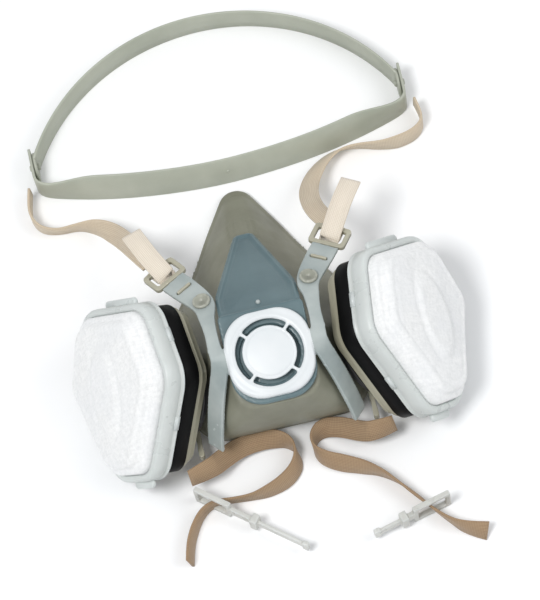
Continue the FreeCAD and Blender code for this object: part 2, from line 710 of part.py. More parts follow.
def make_cradle():
    width, thick = S["cradle_width"], S["cradle_thickness"]
    tip_x, fold_y, peg_y = S["cradle_tip_x"], S["fold_y"], S["peg_y"]
    lean = math.radians(S["back_lean"])

    # Back band: a leaning strip on a wide arc, with a flat tip plate at each end.
    half_chord = tip_x - 0.6
    radius = (half_chord ** 2 + S["back_sag"] ** 2) / (2 * S["back_sag"])
    half_angle = math.asin(half_chord / radius)
    back = new_body("BackBand")
    profiles = []
    for index, height in enumerate((0.0, width * math.cos(lean))):
        shift = height * math.tan(lean)
        sketch = sketch_at(back, "BackProfile%d" % index, height)
        draw(sketch, arc_band(half_angle, radius, thick, fold_y - S["back_sag"] + radius + shift, -1))
        profiles.append(sketch)
    loft(back, "AdditiveLoft", profiles, "BackLoft")
    for name, side in SIDES:
        tip = sketch_at(back, "TipPlate" + name, 0.0)
        low, high = sorted((side * (tip_x - 1.0), side * (tip_x + 0.6)))
        draw(tip, box_edges(low, high, fold_y - 8.0, peg_y + 7.5))
        pad(back, tip, "Sizes.cradle_width", "TipPlatePad" + name)
    back.Placement = cradle_origin()
    doc.recompute()
    holes = []
    for name, side in SIDES:
        hole = doc.addObject("Part::Cylinder", "BackPegHole" + name.title())
        hole.setExpression("Radius", "Sizes.peg_radius")
        hole.Height = 8
        hole.Placement = Placement(Vector(side * tip_x - 4, S["valve_y"] + peg_y, width / 2),
                                   Rotation(Vector(0, 1, 0), 90))
        holes.append(hole)
        slot = doc.addObject("Part::Box", "StrapSlot" + name.title())
        slot.Length, slot.Width, slot.Height = 8, 1.8, 10.4
        slot.Placement = Placement(Vector(side * tip_x - 4, S["valve_y"] + fold_y - 5.6, 2.3), Rotation())
        holes.append(slot)
    cutters = doc.addObject("Part::MultiFuse", "BackCutters")
    cutters.Shapes = holes
    band = doc.addObject("Part::Cut", "CradleBack")
    band.Base = back
    band.Tool = cutters
    node(band, "cradle_back_band")

    # Crown band: stands on edge on a tight arc, its round ends turn on the pegs.
    crown = new_body("CrownBand")
    ear_thick = 1.5
    end_x = tip_x - 1.1 - ear_thick / 2
    rise = S["crown_reach"] - peg_y - 1.5
    outer = (end_x ** 2 + rise ** 2) / (2 * rise) + thick / 2
    profile = sketch_at(crown, "CrownProfile", 0.0)
    draw(profile, arc_band(math.asin(end_x / (outer - thick / 2)), outer, thick, S["crown_reach"] - outer, 1))
    pad(crown, profile, "Sizes.cradle_width", "CrownPad")
    crown.Placement = cradle_origin()
    doc.recompute()
    shape = crown.Shape.copy()
    for _, side in SIDES:
        start = Vector(side * end_x - ear_thick / 2, S["valve_y"] + peg_y, width / 2)
        shape = shape.fuse(Part.makeCylinder(width / 2, ear_thick, start, Vector(1, 0, 0)))
    for _, side in SIDES:
        start = Vector(side * end_x - 6, S["valve_y"] + peg_y, width / 2)
        shape = shape.cut(Part.makeCylinder(S["peg_radius"] + 0.05, 12, start, Vector(1, 0, 0)))
    crown_part = doc.addObject("Part::Feature", "CradleCrown")
    crown_part.Shape = shape.removeSplitter()
    node(crown_part, "cradle_crown_band")

    for name, side in SIDES:
        peg = doc.addObject("Part::Cylinder", "CradlePeg" + name.title())
        peg.setExpression("Radius", "Sizes.peg_radius")
        peg.setExpression("Height", "Sizes.peg_length")
        middle = tip_x - 1.2
        start = side * middle - S["peg_length"] / 2
        end = Vector(start, S["valve_y"] + peg_y, width / 2)
        peg.Placement = Placement(end, Rotation(Vector(0, 1, 0), 90))
        node(peg, "cradle_peg_" + name)


# ---------------------------------------------------------------- straps

# Routes of the four elastic straps, chosen by hand. y is measured from the valve.
STRAP_ROUTES = {
    "upper_strap_left": [
        (-45.0, 66.5, 42.5), (-48.5, 73.5, 38.5), (-52.0, 82.0, 31.5), (-55.5, 91.5, 22.0),
        (-60.0, 101.5, 12.5), (-67.5, 110.0, 7.0), (-77.0, 113.5, 5.5), (-87.0, 113.0, 5.5),
        (-95.5, 116.5, 5.5), (-98.8, 123.5, 5.8), (-98.2, 130.5, 6.3), (-96.5, 137.5, 7.0)],
    "upper_strap_right": [
        (41.5, 66.5, 42.5), (38.0, 73.0, 38.5), (35.7, 81.5, 32.0), (35.0, 91.0, 23.5),
        (36.0, 100.5, 15.0), (39.5, 109.5, 9.0), (46.0, 117.5, 6.2), (55.0, 122.3, 5.5),
        (65.0, 121.8, 5.5), (75.0, 119.2, 5.5), (84.5, 118.8, 5.5), (93.0, 121.0, 5.5),
        (97.8, 125.5, 5.9), (98.0, 131.5, 6.3), (96.5, 138.0, 7.0)],
    "lower_strap_left": [
        (-49.5, -32.5, 15.2), (-38.5, -29.5, 14.5), (-33.0, -24.8, 10.0), (-26.0, -20.2, 6.8),
        (-17.5, -17.7, 5.4),
        (-8.5, -17.9, 5.2), (-1.2, -21.0, 5.2), (2.0, -27.2, 5.2), (0.8, -34.2, 5.2),
        (-5.2, -40.0, 5.2), (-14.0, -43.3, 5.2), (-23.5, -44.6, 5.2), (-33.0, -43.8, 5.2),
        (-41.5, -43.2, 5.2), (-48.0, -46.8, 5.2), (-53.0, -54.0, 5.2), (-56.5, -62.0, 5.2),
        (-58.0, -69.5, 5.2)],
    "lower_strap_right": [
        (49.0, -28.5, 14.8), (38.5, -30.0, 14.0), (32.0, -26.0, 9.0), (24.5, -20.8, 6.2),
        (16.8, -18.6, 5.3),
        (11.2, -21.6, 5.2), (9.4, -27.8, 5.2), (13.2, -33.8, 5.2), (20.5, -38.0, 5.2),
        (29.0, -41.8, 5.2), (37.5, -46.6, 5.2), (44.5, -53.6, 5.2), (50.5, -61.4, 5.2),
        (56.5, -69.8, 5.2), (62.9, -77.6, 5.2), (70.0, -83.6, 5.0), (79.0, -86.8, 4.0)],
}


def make_strap(name, route):
    """A plain tube along straight runs joined by tangent arcs; returns its arc radii."""
    points = [Vector(x, S["valve_y"] + y, z) for x, y, z in route]
    edges, radii = [], []
    last = points[0]
    for before, here, after in zip(points, points[1:], points[2:]):
        back, ahead = before - here, after - here
        run = min(back.Length, ahead.Length)
        back.normalize()
        ahead.normalize()
        turn = math.pi - back.getAngle(ahead)
        radius = 0.45 * run / math.tan(turn / 2)
        reach = 0.45 * run
        bisector = (back + ahead).normalize()
        middle = here + bisector * (radius / math.cos(turn / 2) - radius)
        edges.append(Part.LineSegment(last, here + back * reach))
        edges.append(Part.Arc(here + back * reach, middle, here + ahead * reach))
        last = here + ahead * reach
        radii.append(radius)
    edges.append(Part.LineSegment(last, points[-1]))
    path = Part.Wire([edge.toShape() for edge in edges])
    section = Part.Wire([Part.makeCircle(S["strap_tube_radius"], points[0], points[1] - points[0])])
    tube = path.makePipeShell([section], True, True)
    expected = math.pi * S["strap_tube_radius"] ** 2 * path.Length
    strap = doc.addObject("Part::Feature", name.title().replace("_", ""))
    strap.Shape = tube
    node(strap, name)
    print("%s: length %.1f mm, volume %.4f of section times length, radii %s" % (
        name, path.Length, tube.Volume / expected, " ".join("%.0f" % r for r in radii)))


def ribbon(points, width, thickness):
    """A flat strip through points, its width kept level and square to the run."""
    wires = []
    for index, point in enumerate(points):
        ahead = points[min(index + 1, len(points) - 1)]
        behind = points[max(index - 1, 0)]
        frame = frame_from(point, ahead - behind, Vector(0, 0, 1))
        half, thin = width / 2, thickness / 2
        corners = [(-half, -thin), (half, -thin), (half, thin), (-half, thin)]
        ring = [frame.multVec(Vector(x, 0, z)) for x, z in corners]
        wires.append(Part.makePolygon(ring + ring[:1]))
    return Part.makeLoft(wires, True, True)


# The free end of each upper strap, folded back over the buckle's outer bar. y from the valve.
TAIL_ROUTES = {
    "upper_tail_left": [(-44.5, 65.5, 48.3), (-47.0, 72.0, 48.6), (-49.2, 77.5, 47.5), (-51.0, 83.0, 45.0)],
    "upper_tail_right": [(44.8, 65.5, 48.3), (48.5, 72.0, 49.0), (52.2, 78.0, 48.2), (55.5, 83.8, 46.0)],
}


def make_tails():
    for name, route in TAIL_ROUTES.items():
        points = [Vector(x, S["valve_y"] + y, z) for x, y, z in route]
        tail = doc.addObject("Part::Feature", name.title().replace("_", ""))
        tail.Shape = ribbon(points, S["strap_width"], 1.3)
        node(tail, name)


# Neck clips, standing on edge: where the strap crosses, the way the clip points (degrees from
# +X), where its catch is and where its rail ends.
NECK_CLIPS = (
    ("neck_clip_hook", (-41.5, -43.2), -40.0, 22.0, 50.5),
    ("neck_clip_loop", (56.5, -69.8), 194.0, 14.0, 29.5),
)
CLIP_HEIGHT = 14.0


def clip_block(clip, name, thickness, x_low, x_high, z_low, z_high):
    sketch = sketch_at(clip, name, -thickness / 2)
    draw(sketch, rectangle(x_low, x_high, z_low, z_high, 0.7))
    pad(clip, sketch, thickness, name + "Pad")


def make_neck_clips():
    for name, (x, y), heading, catch, reach in NECK_CLIPS:
        tag = name.title().replace("_", "")
        clip = new_body(tag)
        clip_block(clip, "Frame" + tag, S["clip_thickness"], -9.4, 9.4, 0.0, CLIP_HEIGHT)
        window = sketch_at(clip, "Window" + tag, 4.0)
        draw(window, rectangle(-7.2, 7.2, 2.4, CLIP_HEIGHT - 2.4, 0.8))
        pocket(clip, window, 8.0, "WindowCut" + tag)
        clip_block(clip, "Stem" + tag, 2.2, 8.4, catch, 4.2, 9.8)
        clip_block(clip, "Catch" + tag, 5.0, catch - 1.5, catch + 2.0, 2.5, 11.5)
        clip_block(clip, "Rail" + tag, 1.6, catch + 1.0, reach, 4.8, 9.2)
        clip_block(clip, "RailEnd" + tag, 2.4, reach - 3.0, reach, 3.6, 10.4)
        turn = Rotation(Vector(0, 0, 1), heading).multiply(Rotation(Vector(1, 0, 0), 90))
        node(clip, name, Placement(Vector(x, S["valve_y"] + y, 0.0), turn))


def make_keepers():
    """Slim slide bars that hold the neck straps beside the yoke's lower ends."""
    for name, side in SIDES:
        keeper = new_body("Keeper" + name.title())
        outline = sketch_at(keeper, "KeeperOutline" + name, 9.5)
        low, high = sorted((side * 40.4, side * 43.0))
        draw(outline, rectangle(low, high, -23.0, -8.0, 1.2))
        pad(keeper, outline, 5.0, "KeeperPad" + name)
        node(keeper, "lower_keeper_" + name, Placement(Vector(0, S["valve_y"], 0), Rotation()))


# ---------------------------------------------------------------- build, check, write

make_facepiece()
make_front_panel()
make_exhalation_valve()
make_yoke()
make_studs()
make_buckles()
for side_name, side_sign in SIDES:
    make_ports(side_name, side_sign)
    make_cartridge(side_name, side_sign)
    make_prefilter(side_name, side_sign)
make_cradle()
for strap_name, strap_route in STRAP_ROUTES.items():
    make_strap(strap_name, strap_route)
make_tails()
make_neck_clips()
make_keepers()
doc.recompute()

for obj in doc.Objects:
    if "Invalid" in obj.State or "Error" in obj.State:
        raise RuntimeError("%s (%s) failed: %s" % (obj.Name, obj.Label, obj.State))
for part in NODES:
    if part.Shape.isNull() or not part.Shape.isValid():
        raise RuntimeError("%s has no valid shape" % part.Label)

os.makedirs("parts", exist_ok=True)
for part in NODES:
    part.Shape.exportStep("parts/%s.step" % part.Label)
    box = part.Shape.optimalBoundingBox(False, False)
    print("%-26s solids %d volume %9.1f  x %6.1f %6.1f  y %6.1f %6.1f  z %5.1f %5.1f" % (
        part.Label, len(part.Shape.Solids), part.Shape.Volume,
        box.XMin, box.XMax, box.YMin, box.YMax, box.ZMin, box.ZMax))
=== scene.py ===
"""Looks of a half-face respirator mask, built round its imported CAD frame.

Blender's objects are in metres. The tables of shapes and routes are in millimetres.
"""

import json
import math

import bmesh
import bpy
import numpy as np
from mathutils import Matrix, Vector, noise
from mathutils.kdtree import KDTree


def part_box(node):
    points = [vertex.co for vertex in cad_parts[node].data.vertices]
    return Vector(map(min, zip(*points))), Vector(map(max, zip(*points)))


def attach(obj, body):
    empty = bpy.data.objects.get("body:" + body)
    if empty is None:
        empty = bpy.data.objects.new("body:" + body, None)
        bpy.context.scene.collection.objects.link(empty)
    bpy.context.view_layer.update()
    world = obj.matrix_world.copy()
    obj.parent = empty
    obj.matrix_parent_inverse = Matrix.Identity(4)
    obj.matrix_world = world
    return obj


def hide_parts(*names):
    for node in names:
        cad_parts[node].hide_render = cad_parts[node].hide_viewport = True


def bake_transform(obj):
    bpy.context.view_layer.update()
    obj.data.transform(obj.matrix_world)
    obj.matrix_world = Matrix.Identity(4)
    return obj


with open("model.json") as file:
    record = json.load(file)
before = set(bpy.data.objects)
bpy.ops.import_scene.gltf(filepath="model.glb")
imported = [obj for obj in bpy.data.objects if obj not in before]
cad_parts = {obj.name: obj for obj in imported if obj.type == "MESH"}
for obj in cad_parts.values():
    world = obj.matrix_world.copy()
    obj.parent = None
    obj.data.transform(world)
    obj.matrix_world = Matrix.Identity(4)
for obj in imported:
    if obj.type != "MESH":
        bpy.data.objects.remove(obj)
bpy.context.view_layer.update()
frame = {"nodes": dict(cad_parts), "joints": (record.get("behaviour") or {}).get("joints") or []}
NODES = frame["nodes"]
SCENE = bpy.context.scene

MM = 0.001
SIDES = (("left", -1), ("right", 1))
X_AXIS = Vector((1, 0, 0))
Y_AXIS = Vector((0, 1, 0))
UP = Vector((0, 0, 1))


# ---- places read from the frame

def centre(node):
    low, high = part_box(node)
    return (low + high) / 2


def joint_axis(name):
    return next(Vector(j["axis"]).normalized() for j in frame["joints"] if j["name"] == name)


def place(origin, x_axis, y_axis, z_axis):
    matrix = Matrix((x_axis, y_axis, z_axis)).transposed().to_4x4()
    matrix.translation = origin
    return matrix


def mm(x, y, z=0.0):
    return Vector((x, y, z)) * MM


def new_object(name, data):
    """An object of the given data, put in the scene."""
    obj = bpy.data.objects.new(name, data)
    SCENE.collection.objects.link(obj)
    return obj


# Heights of the valve flap and of the gasket's middle, below the cover's face and the retainer's.
FLAP_BELOW = 5.25 * MM
GASKET_BELOW = 28.5 * MM

FRONT_AXIS = joint_axis("exhalation_flap_lift")
FRONT = place(centre("exhalation_valve_flap") + FRONT_AXIS * FLAP_BELOW,
              X_AXIS, FRONT_AXIS.cross(X_AXIS), FRONT_AXIS)
VALVE_Y = FRONT.translation.y


def from_valve(x, y, z):
    """A point given in millimetres, its y measured from the valve."""
    return mm(x, y, z) + Vector((0, VALVE_Y, 0))


def cartridge_place(name):
    axis = joint_axis("retainer_pull_" + name)
    tall = axis.cross(X_AXIS).normalized()
    return place(centre("cartridge_gasket_" + name) + axis * GASKET_BELOW, tall.cross(axis), tall, axis)


# ---- camera and light

# The camera looks down this steeply, from this far off, turned about its own line of sight.
CAMERA_ELEVATION = math.radians(65.0)
CAMERA_ROLL = math.radians(13.2)
CAMERA_DISTANCE = 1400 * MM
CAMERA_LENS = 184.8

# Each soft lamp: where it stands, how wide it is and its power in watts. All point at the middle.
LAMPS = {
    "Key": ((-0.5, -0.45, 1.35), 0.5, 12.5),
    "Fill": ((1.0, -0.3, 1.1), 1.0, 6.0),
    "Back": ((0.3, 1.3, 0.7), 0.8, 2.0),
}


def aim(obj, position, target, roll=0.0):
    """Points obj's -Z at target; roll turns it about that line."""
    view = (target - position).normalized()
    right = view.cross(UP).normalized()
    up = right.cross(view)
    x_axis = right * math.cos(roll) - up * math.sin(roll)
    y_axis = right * math.sin(roll) + up * math.cos(roll)
    obj.matrix_world = place(position, x_axis, y_axis, -view)


def make_camera():
    target = from_valve(5.6, 20.8, 71.7)
    data = bpy.data.cameras.new("Camera")
    data.sensor_width = 36.0
    data.lens = CAMERA_LENS
    data.clip_end = 20.0
    camera = new_object("Camera", data)
    back = Vector((0, -math.cos(CAMERA_ELEVATION), math.sin(CAMERA_ELEVATION)))
    aim(camera, target + back * CAMERA_DISTANCE, target, CAMERA_ROLL)
    SCENE.camera = camera


def make_studio():
    for name, (position, size, power) in LAMPS.items():
        data = bpy.data.lights.new(name, "AREA")
        data.shape = "DISK"
        data.size = size
        data.energy = power
        aim(new_object(name, data), Vector(position), Vector())
    world = bpy.data.worlds.new("Studio")
    SCENE.world = world
    world.use_nodes = True
    background = world.node_tree.nodes["Background"]
    background.inputs["Color"].default_value = (0.95, 0.97, 1.0, 1.0)
    background.inputs["Strength"].default_value = 0.5
    SCENE.view_settings.view_transform = "Standard"


# ---- materials

def srgb(levels):
    """A linear colour from red, green and blue display levels of 0 to 255."""
    def linear(v):
        v /= 255.0
        return v / 12.92 if v <= 0.04045 else ((v + 0.055) / 1.055) ** 2.4
    return (*map(linear, levels), 1.0)


class Look:
    """A node material put together by short calls."""

    def __init__(self, name):
        self.material = bpy.data.materials.new(name)
        self.material.use_nodes = True
        self.tree = self.material.node_tree
        self.tree.nodes.clear()
        self.output = self.add("ShaderNodeOutputMaterial")
        self.spot = self.add("ShaderNodeTexCoord").outputs["Object"]

    def add(self, kind, inputs=None, **settings):
        made = self.tree.nodes.new(kind)
        for key, value in settings.items():
            setattr(made, key, value)
        for key, value in (inputs or {}).items():
            self.put(made, key, value)
        return made

    def put(self, made, key, value):
        if isinstance(value, bpy.types.NodeSocket):
            self.tree.links.new(value, made.inputs[key])
        else:
            made.inputs[key].default_value = value

    def stretch(self, scale):
        """Object coordinates scaled unevenly, for grain that runs one way."""
        made = self.add("ShaderNodeMapping", {"Vector": self.spot, "Scale": scale})
        return made.outputs["Vector"]

    def noise(self, scale, detail=3.0, rough=0.55, vector=None):
        made = self.add("ShaderNodeTexNoise", {"Vector": vector or self.spot, "Scale": scale,
                                               "Detail": detail, "Roughness": rough})
        return made.outputs["Fac"]

    def span(self, value, low, high, to_low=0.0, to_high=1.0):
        made = self.add("ShaderNodeMapRange", {"Value": value, "From Min": low, "From Max": high,
                                               "To Min": to_low, "To Max": to_high})
        return made.outputs["Result"]

    def maths(self, operation, one, two=0.0):
        made = self.add("ShaderNodeMath", {0: one, 1: two}, operation=operation)
        return made.outputs[0]

    def mix(self, share, one, two):
        made = self.add("ShaderNodeMix", {0: share, 6: one, 7: two}, data_type="RGBA")
        return made.outputs[2]

    def edges(self, low=0.52, high=0.6):
        """High along sharp outer edges."""
        made = self.add("ShaderNodeNewGeometry")
        return self.span(made.outputs["Pointiness"], low, high)

    def bump(self, height, strength, distance, normal=None):
        inputs = {"Height": height, "Strength": strength, "Distance": distance}
        if normal:
            inputs["Normal"] = normal
        return self.add("ShaderNodeBump", inputs).outputs["Normal"]

    def surface(self, colour, roughness, normal=None, **more):
        inputs = {"Base Color": colour, "Roughness": roughness}
        if normal:
            inputs["Normal"] = normal
        inputs.update(more)
        made = self.add("ShaderNodeBsdfPrincipled", inputs)
        return made.outputs["BSDF"]

    def glowing(self, shader, share, colour, normal):
        """The shader with a share of light let through."""
        glow = self.add("ShaderNodeBsdfTranslucent", {"Color": colour, "Normal": normal}).outputs["BSDF"]
        return self.add("ShaderNodeMixShader", {0: share, 1: shader, 2: glow}).outputs["Shader"]

    def finish(self, shader):
        self.tree.links.new(shader, self.output.inputs["Surface"])
        return self.material


def moulded(name, colour, dark, light, roughness, grain=900.0, grain_depth=0.06, translucent=0.0, **more):
    """Moulded plastic or rubber: mottled colour, fine surface grain and a painted highlight along sharp
    edges.
    """
    look = Look(name)
    patches = look.span(look.noise(38.0, 4.0), 0.3, 0.7)
    base = look.mix(patches, dark, colour)
    # Sharp edges are blended towards the pale colour: a painted highlight.
    base = look.mix(look.maths("MULTIPLY", look.edges(), 0.45), base, light)
    specks = look.noise(grain, 2.0)
    rough = look.span(look.noise(120.0, 3.0), 0.3, 0.7, roughness - 0.06, roughness + 0.08)
    waves = look.bump(look.noise(70.0, 2.0), 0.12, 0.4 * MM)
    normal = look.bump(specks, 0.25, grain_depth * MM, waves)
    shader = look.surface(base, rough, normal, **more)
    if translucent:
        shader = look.glowing(shader, translucent, base, normal)
    return look.finish(shader)


def clear_plastic(name, colour, tint):
    """Cloudy see-through plastic: part diffuse, part rough transmission."""
    look = Look(name)
    clouds = look.span(look.noise(45.0, 4.0), 0.3, 0.7)
    base = look.mix(clouds, srgb(tint), srgb(colour))
    # Sharp edges are blended towards a pale colour: a painted highlight.
    base = look.mix(look.maths("MULTIPLY", look.edges(0.5, 0.58), 0.6), base, srgb((236, 242, 242)))
    normal = look.bump(look.noise(500.0, 2.0), 0.2, 0.08 * MM)
    rough = look.span(look.noise(90.0, 3.0), 0.3, 0.7, 0.24, 0.38)
    body = look.surface(base, rough, normal, **{"Transmission Weight": 0.12, "IOR": 1.46,
                                                "Specular IOR Level": 0.55})
    return look.finish(look.glowing(body, 0.28, base, normal))


def felt():
    """Nonwoven filter felt: matted white fibres with faint pressed cells."""
    look = Look("filter_felt")
    fibres = look.noise(1.0, 5.0, 0.7, look.stretch((900.0, 260.0, 500.0)))
    crossing = look.noise(1.0, 5.0, 0.7, look.stretch((240.0, 900.0, 450.0)))
    mat = look.maths("ADD", fibres, crossing)
    lumps = look.noise(55.0, 3.0)
    base = look.mix(look.span(mat, 0.75, 1.25), srgb((220, 221, 220)), srgb((240, 240, 239)))
    base = look.mix(look.span(lumps, 0.35, 0.65, 0.0, 0.35), base, srgb((224, 226, 228)))
    normal = look.bump(mat, 0.1, 0.12 * MM, look.bump(lumps, 0.08, 0.8 * MM))
    return look.finish(look.surface(base, 0.92, normal, **{
        "Sheen Weight": 0.35, "Sheen Roughness": 0.5, "Subsurface Weight": 0.08,
        "Subsurface Radius": (0.002, 0.002, 0.002)}))


RIB_PITCH = 0.82 * MM
PICK_PITCH = 0.75 * MM


def webbing(name, bright, dark, stain):
    """Woven elastic: ribs along the strap with fine picks across them. Its UVs are metres."""
    look = Look(name)
    uv = look.add("ShaderNodeUVMap", uv_map="weave").outputs["UV"]
    parts = look.add("ShaderNodeSeparateXYZ", {"Vector": uv}).outputs
    ribs = look.maths("SINE", look.maths("MULTIPLY", parts["X"], 2 * math.pi / RIB_PITCH))
    picks = look.maths("SINE", look.maths("MULTIPLY", parts["Y"], 2 * math.pi / PICK_PITCH))
    slip = look.noise(1.0, 3.0, 0.6, look.add("ShaderNodeMapping", {
        "Vector": uv, "Scale": (900.0, 60.0, 1.0)}).outputs["Vector"])
    weave = look.maths("ADD", look.maths("MULTIPLY", ribs, 0.6), look.maths("MULTIPLY", picks, 0.4))
    height = look.maths("ADD", weave, look.maths("MULTIPLY", slip, 1.2))
    colour = look.mix(look.span(height, -0.6, 1.6), srgb(dark), srgb(bright))
    stains = look.span(look.noise(60.0, 3.0), 0.35, 0.7, 0.0, 0.35)
    colour = look.mix(stains, colour, srgb(stain))
    normal = look.bump(height, 0.5, 0.16 * MM)
    body = look.surface(colour, 0.85, normal, **{"Sheen Weight": 0.25})
    return look.finish(look.glowing(body, 0.14, colour, normal))


def granules():
    """Packed carbon grains."""
    look = Look("carbon")
    cells = look.add("ShaderNodeTexVoronoi", {"Vector": look.spot, "Scale": 900.0})
    base = look.mix(look.span(cells.outputs["Distance"], 0.0, 0.6), srgb((60, 60, 62)), srgb((14, 14, 15)))
    normal = look.bump(cells.outputs["Distance"], 0.8, 0.5 * MM)
    return look.finish(look.surface(base, 0.6, normal))


def label_film():
    """Deep black satin film, faintly smudged."""
    look = Look("label_film")
    smudge = look.noise(60.0, 3.0)
    base = look.mix(look.span(smudge, 0.35, 0.7), srgb((5, 5, 6)), srgb((13, 13, 13)))
    rough = look.span(smudge, 0.3, 0.7, 0.42, 0.58)
    normal = look.bump(look.noise(40.0, 2.0), 0.1, 0.3 * MM)
    return look.finish(look.surface(base, rough, normal, **{"Specular IOR Level": 0.12}))


# The moulded looks: main and dark colours, the pale colour of the painted edge highlight, how rough each is,
# and what else it needs.
MOULDED = {
    "elastomer": ((137, 137, 121), (118, 118, 103), (174, 173, 158), 0.48,
                  {"grain": 700.0, "grain_depth": 0.12, "Specular IOR Level": 0.42}),
    "panel_plastic": ((96, 117, 121), (82, 103, 108), (140, 158, 161), 0.36,
                      {"Coat Weight": 0.1, "Coat Roughness": 0.3}),
    "yoke_plastic": ((204, 211, 208), (160, 172, 171), (234, 239, 238), 0.4, {"translucent": 0.25}),
    "cover_plastic": ((232, 235, 236), (222, 227, 229), (244, 246, 247), 0.36, {"translucent": 0.12}),
    "stud_plastic": ((158, 159, 146), (138, 140, 128), (200, 201, 190), 0.36, {}),
    "buckle_plastic": ((190, 187, 168), (168, 164, 144), (220, 217, 202), 0.4, {"translucent": 0.12}),
    "valve_rubber": ((116, 136, 142), (98, 118, 124), (140, 158, 162), 0.5, {}),
    "gasket_rubber": ((30, 30, 30), (18, 18, 18), (70, 70, 70), 0.45, {}),
    "cup_plastic": ((172, 169, 150), (154, 150, 130), (206, 203, 188), 0.36, {}),
    "cradle_plastic": ((186, 189, 174), (164, 169, 153), (214, 217, 204), 0.4,
                       {"translucent": 0.18, "grain_depth": 0.04}),
}

LOOKS = {name: moulded(name, *map(srgb, row[:3]), row[3], **row[4]) for name, row in MOULDED.items()}
LOOKS |= {
    "retainer_plastic": clear_plastic("retainer_plastic", (236, 239, 236), (222, 226, 223)),
    "clip_plastic": clear_plastic("clip_plastic", (234, 234, 230), (218, 218, 212)),
    "carbon": granules(),
    "label_film": label_film(),
    "filter_felt": felt(),
    "webbing": webbing("webbing", (232, 219, 197), (194, 175, 148), (212, 192, 166)),
    # A paler copy of the webbing for the tails: painted light.
    "painted_light_tail_webbing": webbing("painted_light_tail_webbing", (248, 240, 226), (220, 206, 186), (236, 224, 206)),
    # A browner, darker copy of the webbing for the neck straps: painted shade.
    "painted_shade_neck_webbing": webbing("painted_shade_neck_webbing", (190, 163, 130), (140, 113, 86), (166, 136, 104)),
}


# ---- mesh helpers

def smooth_faces(data):
    data.polygons.foreach_set("use_smooth", [True] * len(data.polygons))


def mesh_object(name, vertices, faces):
    data = bpy.data.meshes.new(name)
    data.from_pydata([tuple(v) for v in vertices], [], faces)
    data.update()
    smooth_faces(data)
    return new_object(name, data)


def made_mesh(obj):
    """The mesh that obj makes from its curve or its modifiers."""
    graph = bpy.context.evaluated_depsgraph_get()
    return bpy.data.meshes.new_from_object(obj.evaluated_get(graph))


def apply_modifiers(obj):
    """Gives obj the mesh that its modifiers make, and drops them."""
    data = made_mesh(obj)
    obj.modifiers.clear()
    obj.data = data
    smooth_faces(data)
    return obj


def read_rows(items, key):
    """The named vector of each vertex or polygon, one row each."""
    flat = np.empty(len(items) * 3)
    items.foreach_get(key, flat)
    return flat.reshape(-1, 3)


def spots_of(obj):
    return read_rows(obj.data.vertices, "co")


def write_rows(obj, spots):
    obj.data.vertices.foreach_set("co", spots.ravel())
    obj.data.update()


def through(matrix, spots):
    """Rows of points taken through a 4 x 4 matrix."""
    rows = np.array(matrix)
    return spots @ rows[:3, :3].T + rows[:3, 3]


def noise_rows(spots, scale):
    return np.array([noise.noise(Vector(spot)) for spot in spots * scale])


def modify(obj, kind, **settings):
    modifier = obj.modifiers.new(kind.title(), kind)
    for key, value in settings.items():
        setattr(modifier, key, value)
    return modifier


def remesh(obj, voxel):
    modify(obj, "REMESH", mode="VOXEL", voxel_size=voxel, use_smooth_shade=True)
    return apply_modifiers(obj)


def relax(obj, rounds):
    modify(obj, "SMOOTH", iterations=rounds, factor=0.5)
    return apply_modifiers(obj)


def skin_of(node, name, voxel, rounds):
    """A copy of a CAD node with its edges rounded over: remeshed, then relaxed."""
    return relax(remesh(new_object(name, NODES[node].data.copy()), voxel), rounds)


SHARP_ANGLE = math.radians(35.0)


def soften(obj, width):
    """Bevels obj's sharp edges."""
    modify(obj, "WELD", merge_threshold=0.002 * MM)
    modify(obj, "BEVEL", width=width, segments=2, limit_method="ANGLE", angle_limit=SHARP_ANGLE,
           use_clamp_overlap=True, harden_normals=False)
    return obj


def shade(obj, look, body=None, replaced=None):
    """Gives obj its look, puts it under its body's empty and hides the CAD node that it stands for."""
    obj.data.materials.clear()
    obj.data.materials.append(LOOKS[look])
    if body:
        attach(obj, body)
    if replaced:
        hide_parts(replaced)
    return obj


def join(objects, name):
    """One mesh of several, in the row frame."""
    mesh = bmesh.new()
    for obj in objects:
        mesh.from_mesh(obj.data)
        bpy.data.objects.remove(obj)
    data = bpy.data.meshes.new(name)
    mesh.to_mesh(data)
    mesh.free()
    smooth_faces(data)
    return new_object(name, data)


def ring_faces(rings, count, closed):
    """Quads between each ring and the next, as point numbers."""
    faces = []
    for low in range(rings if closed else rings - 1):
        high = (low + 1) % rings
        for k in range(count):
            after = (k + 1) % count
            faces.append((low * count + k, low * count + after, high * count + after, high * count + k))
    return faces


def rings_object(name, rings, closed=False, caps=False):
    """Quads between rings of as many points each; closed joins the last ring to the first."""
    count = len(rings[0])
    faces = ring_faces(len(rings), count, closed)
    if caps:
        faces.append(tuple(reversed(range(count))))
        start = (len(rings) - 1) * count
        faces.append(tuple(range(start, start + count)))
    obj = mesh_object(name, [point for ring in rings for point in ring], faces)
    mesh = bmesh.new()
    mesh.from_mesh(obj.data)
    bmesh.ops.recalc_face_normals(mesh, faces=mesh.faces)
    mesh.to_mesh(obj.data)
    mesh.free()
    return obj


def lathe(name, where, profile, steps):
    """A ring turned about where's z axis from (radius, height) points in millimetres."""
    rings = []
    for radius, height in profile:
        rings.append([where @ mm(radius * math.cos(2 * math.pi * k / steps),
                                 radius * math.sin(2 * math.pi * k / steps), height) for k in range(steps)])
    return rings_object(name, rings, closed=True)


def rotated(vector, angle):
    return Vector((vector.x * math.cos(angle) - vector.y * math.sin(angle),
                   vector.x * math.sin(angle) + vector.y * math.cos(angle)))


def corner_ways(corners):
    """Each corner of a polygon, and the directions from it back and on along its two sides."""
    for before, here, after in zip(corners[-1:] + corners[:-1], corners, corners[1:] + corners[:1]):
        here = Vector(here)
        yield here, (Vector(before) - here).normalized(), (Vector(after) - here).normalized()


LEAST_BEND = 3.0


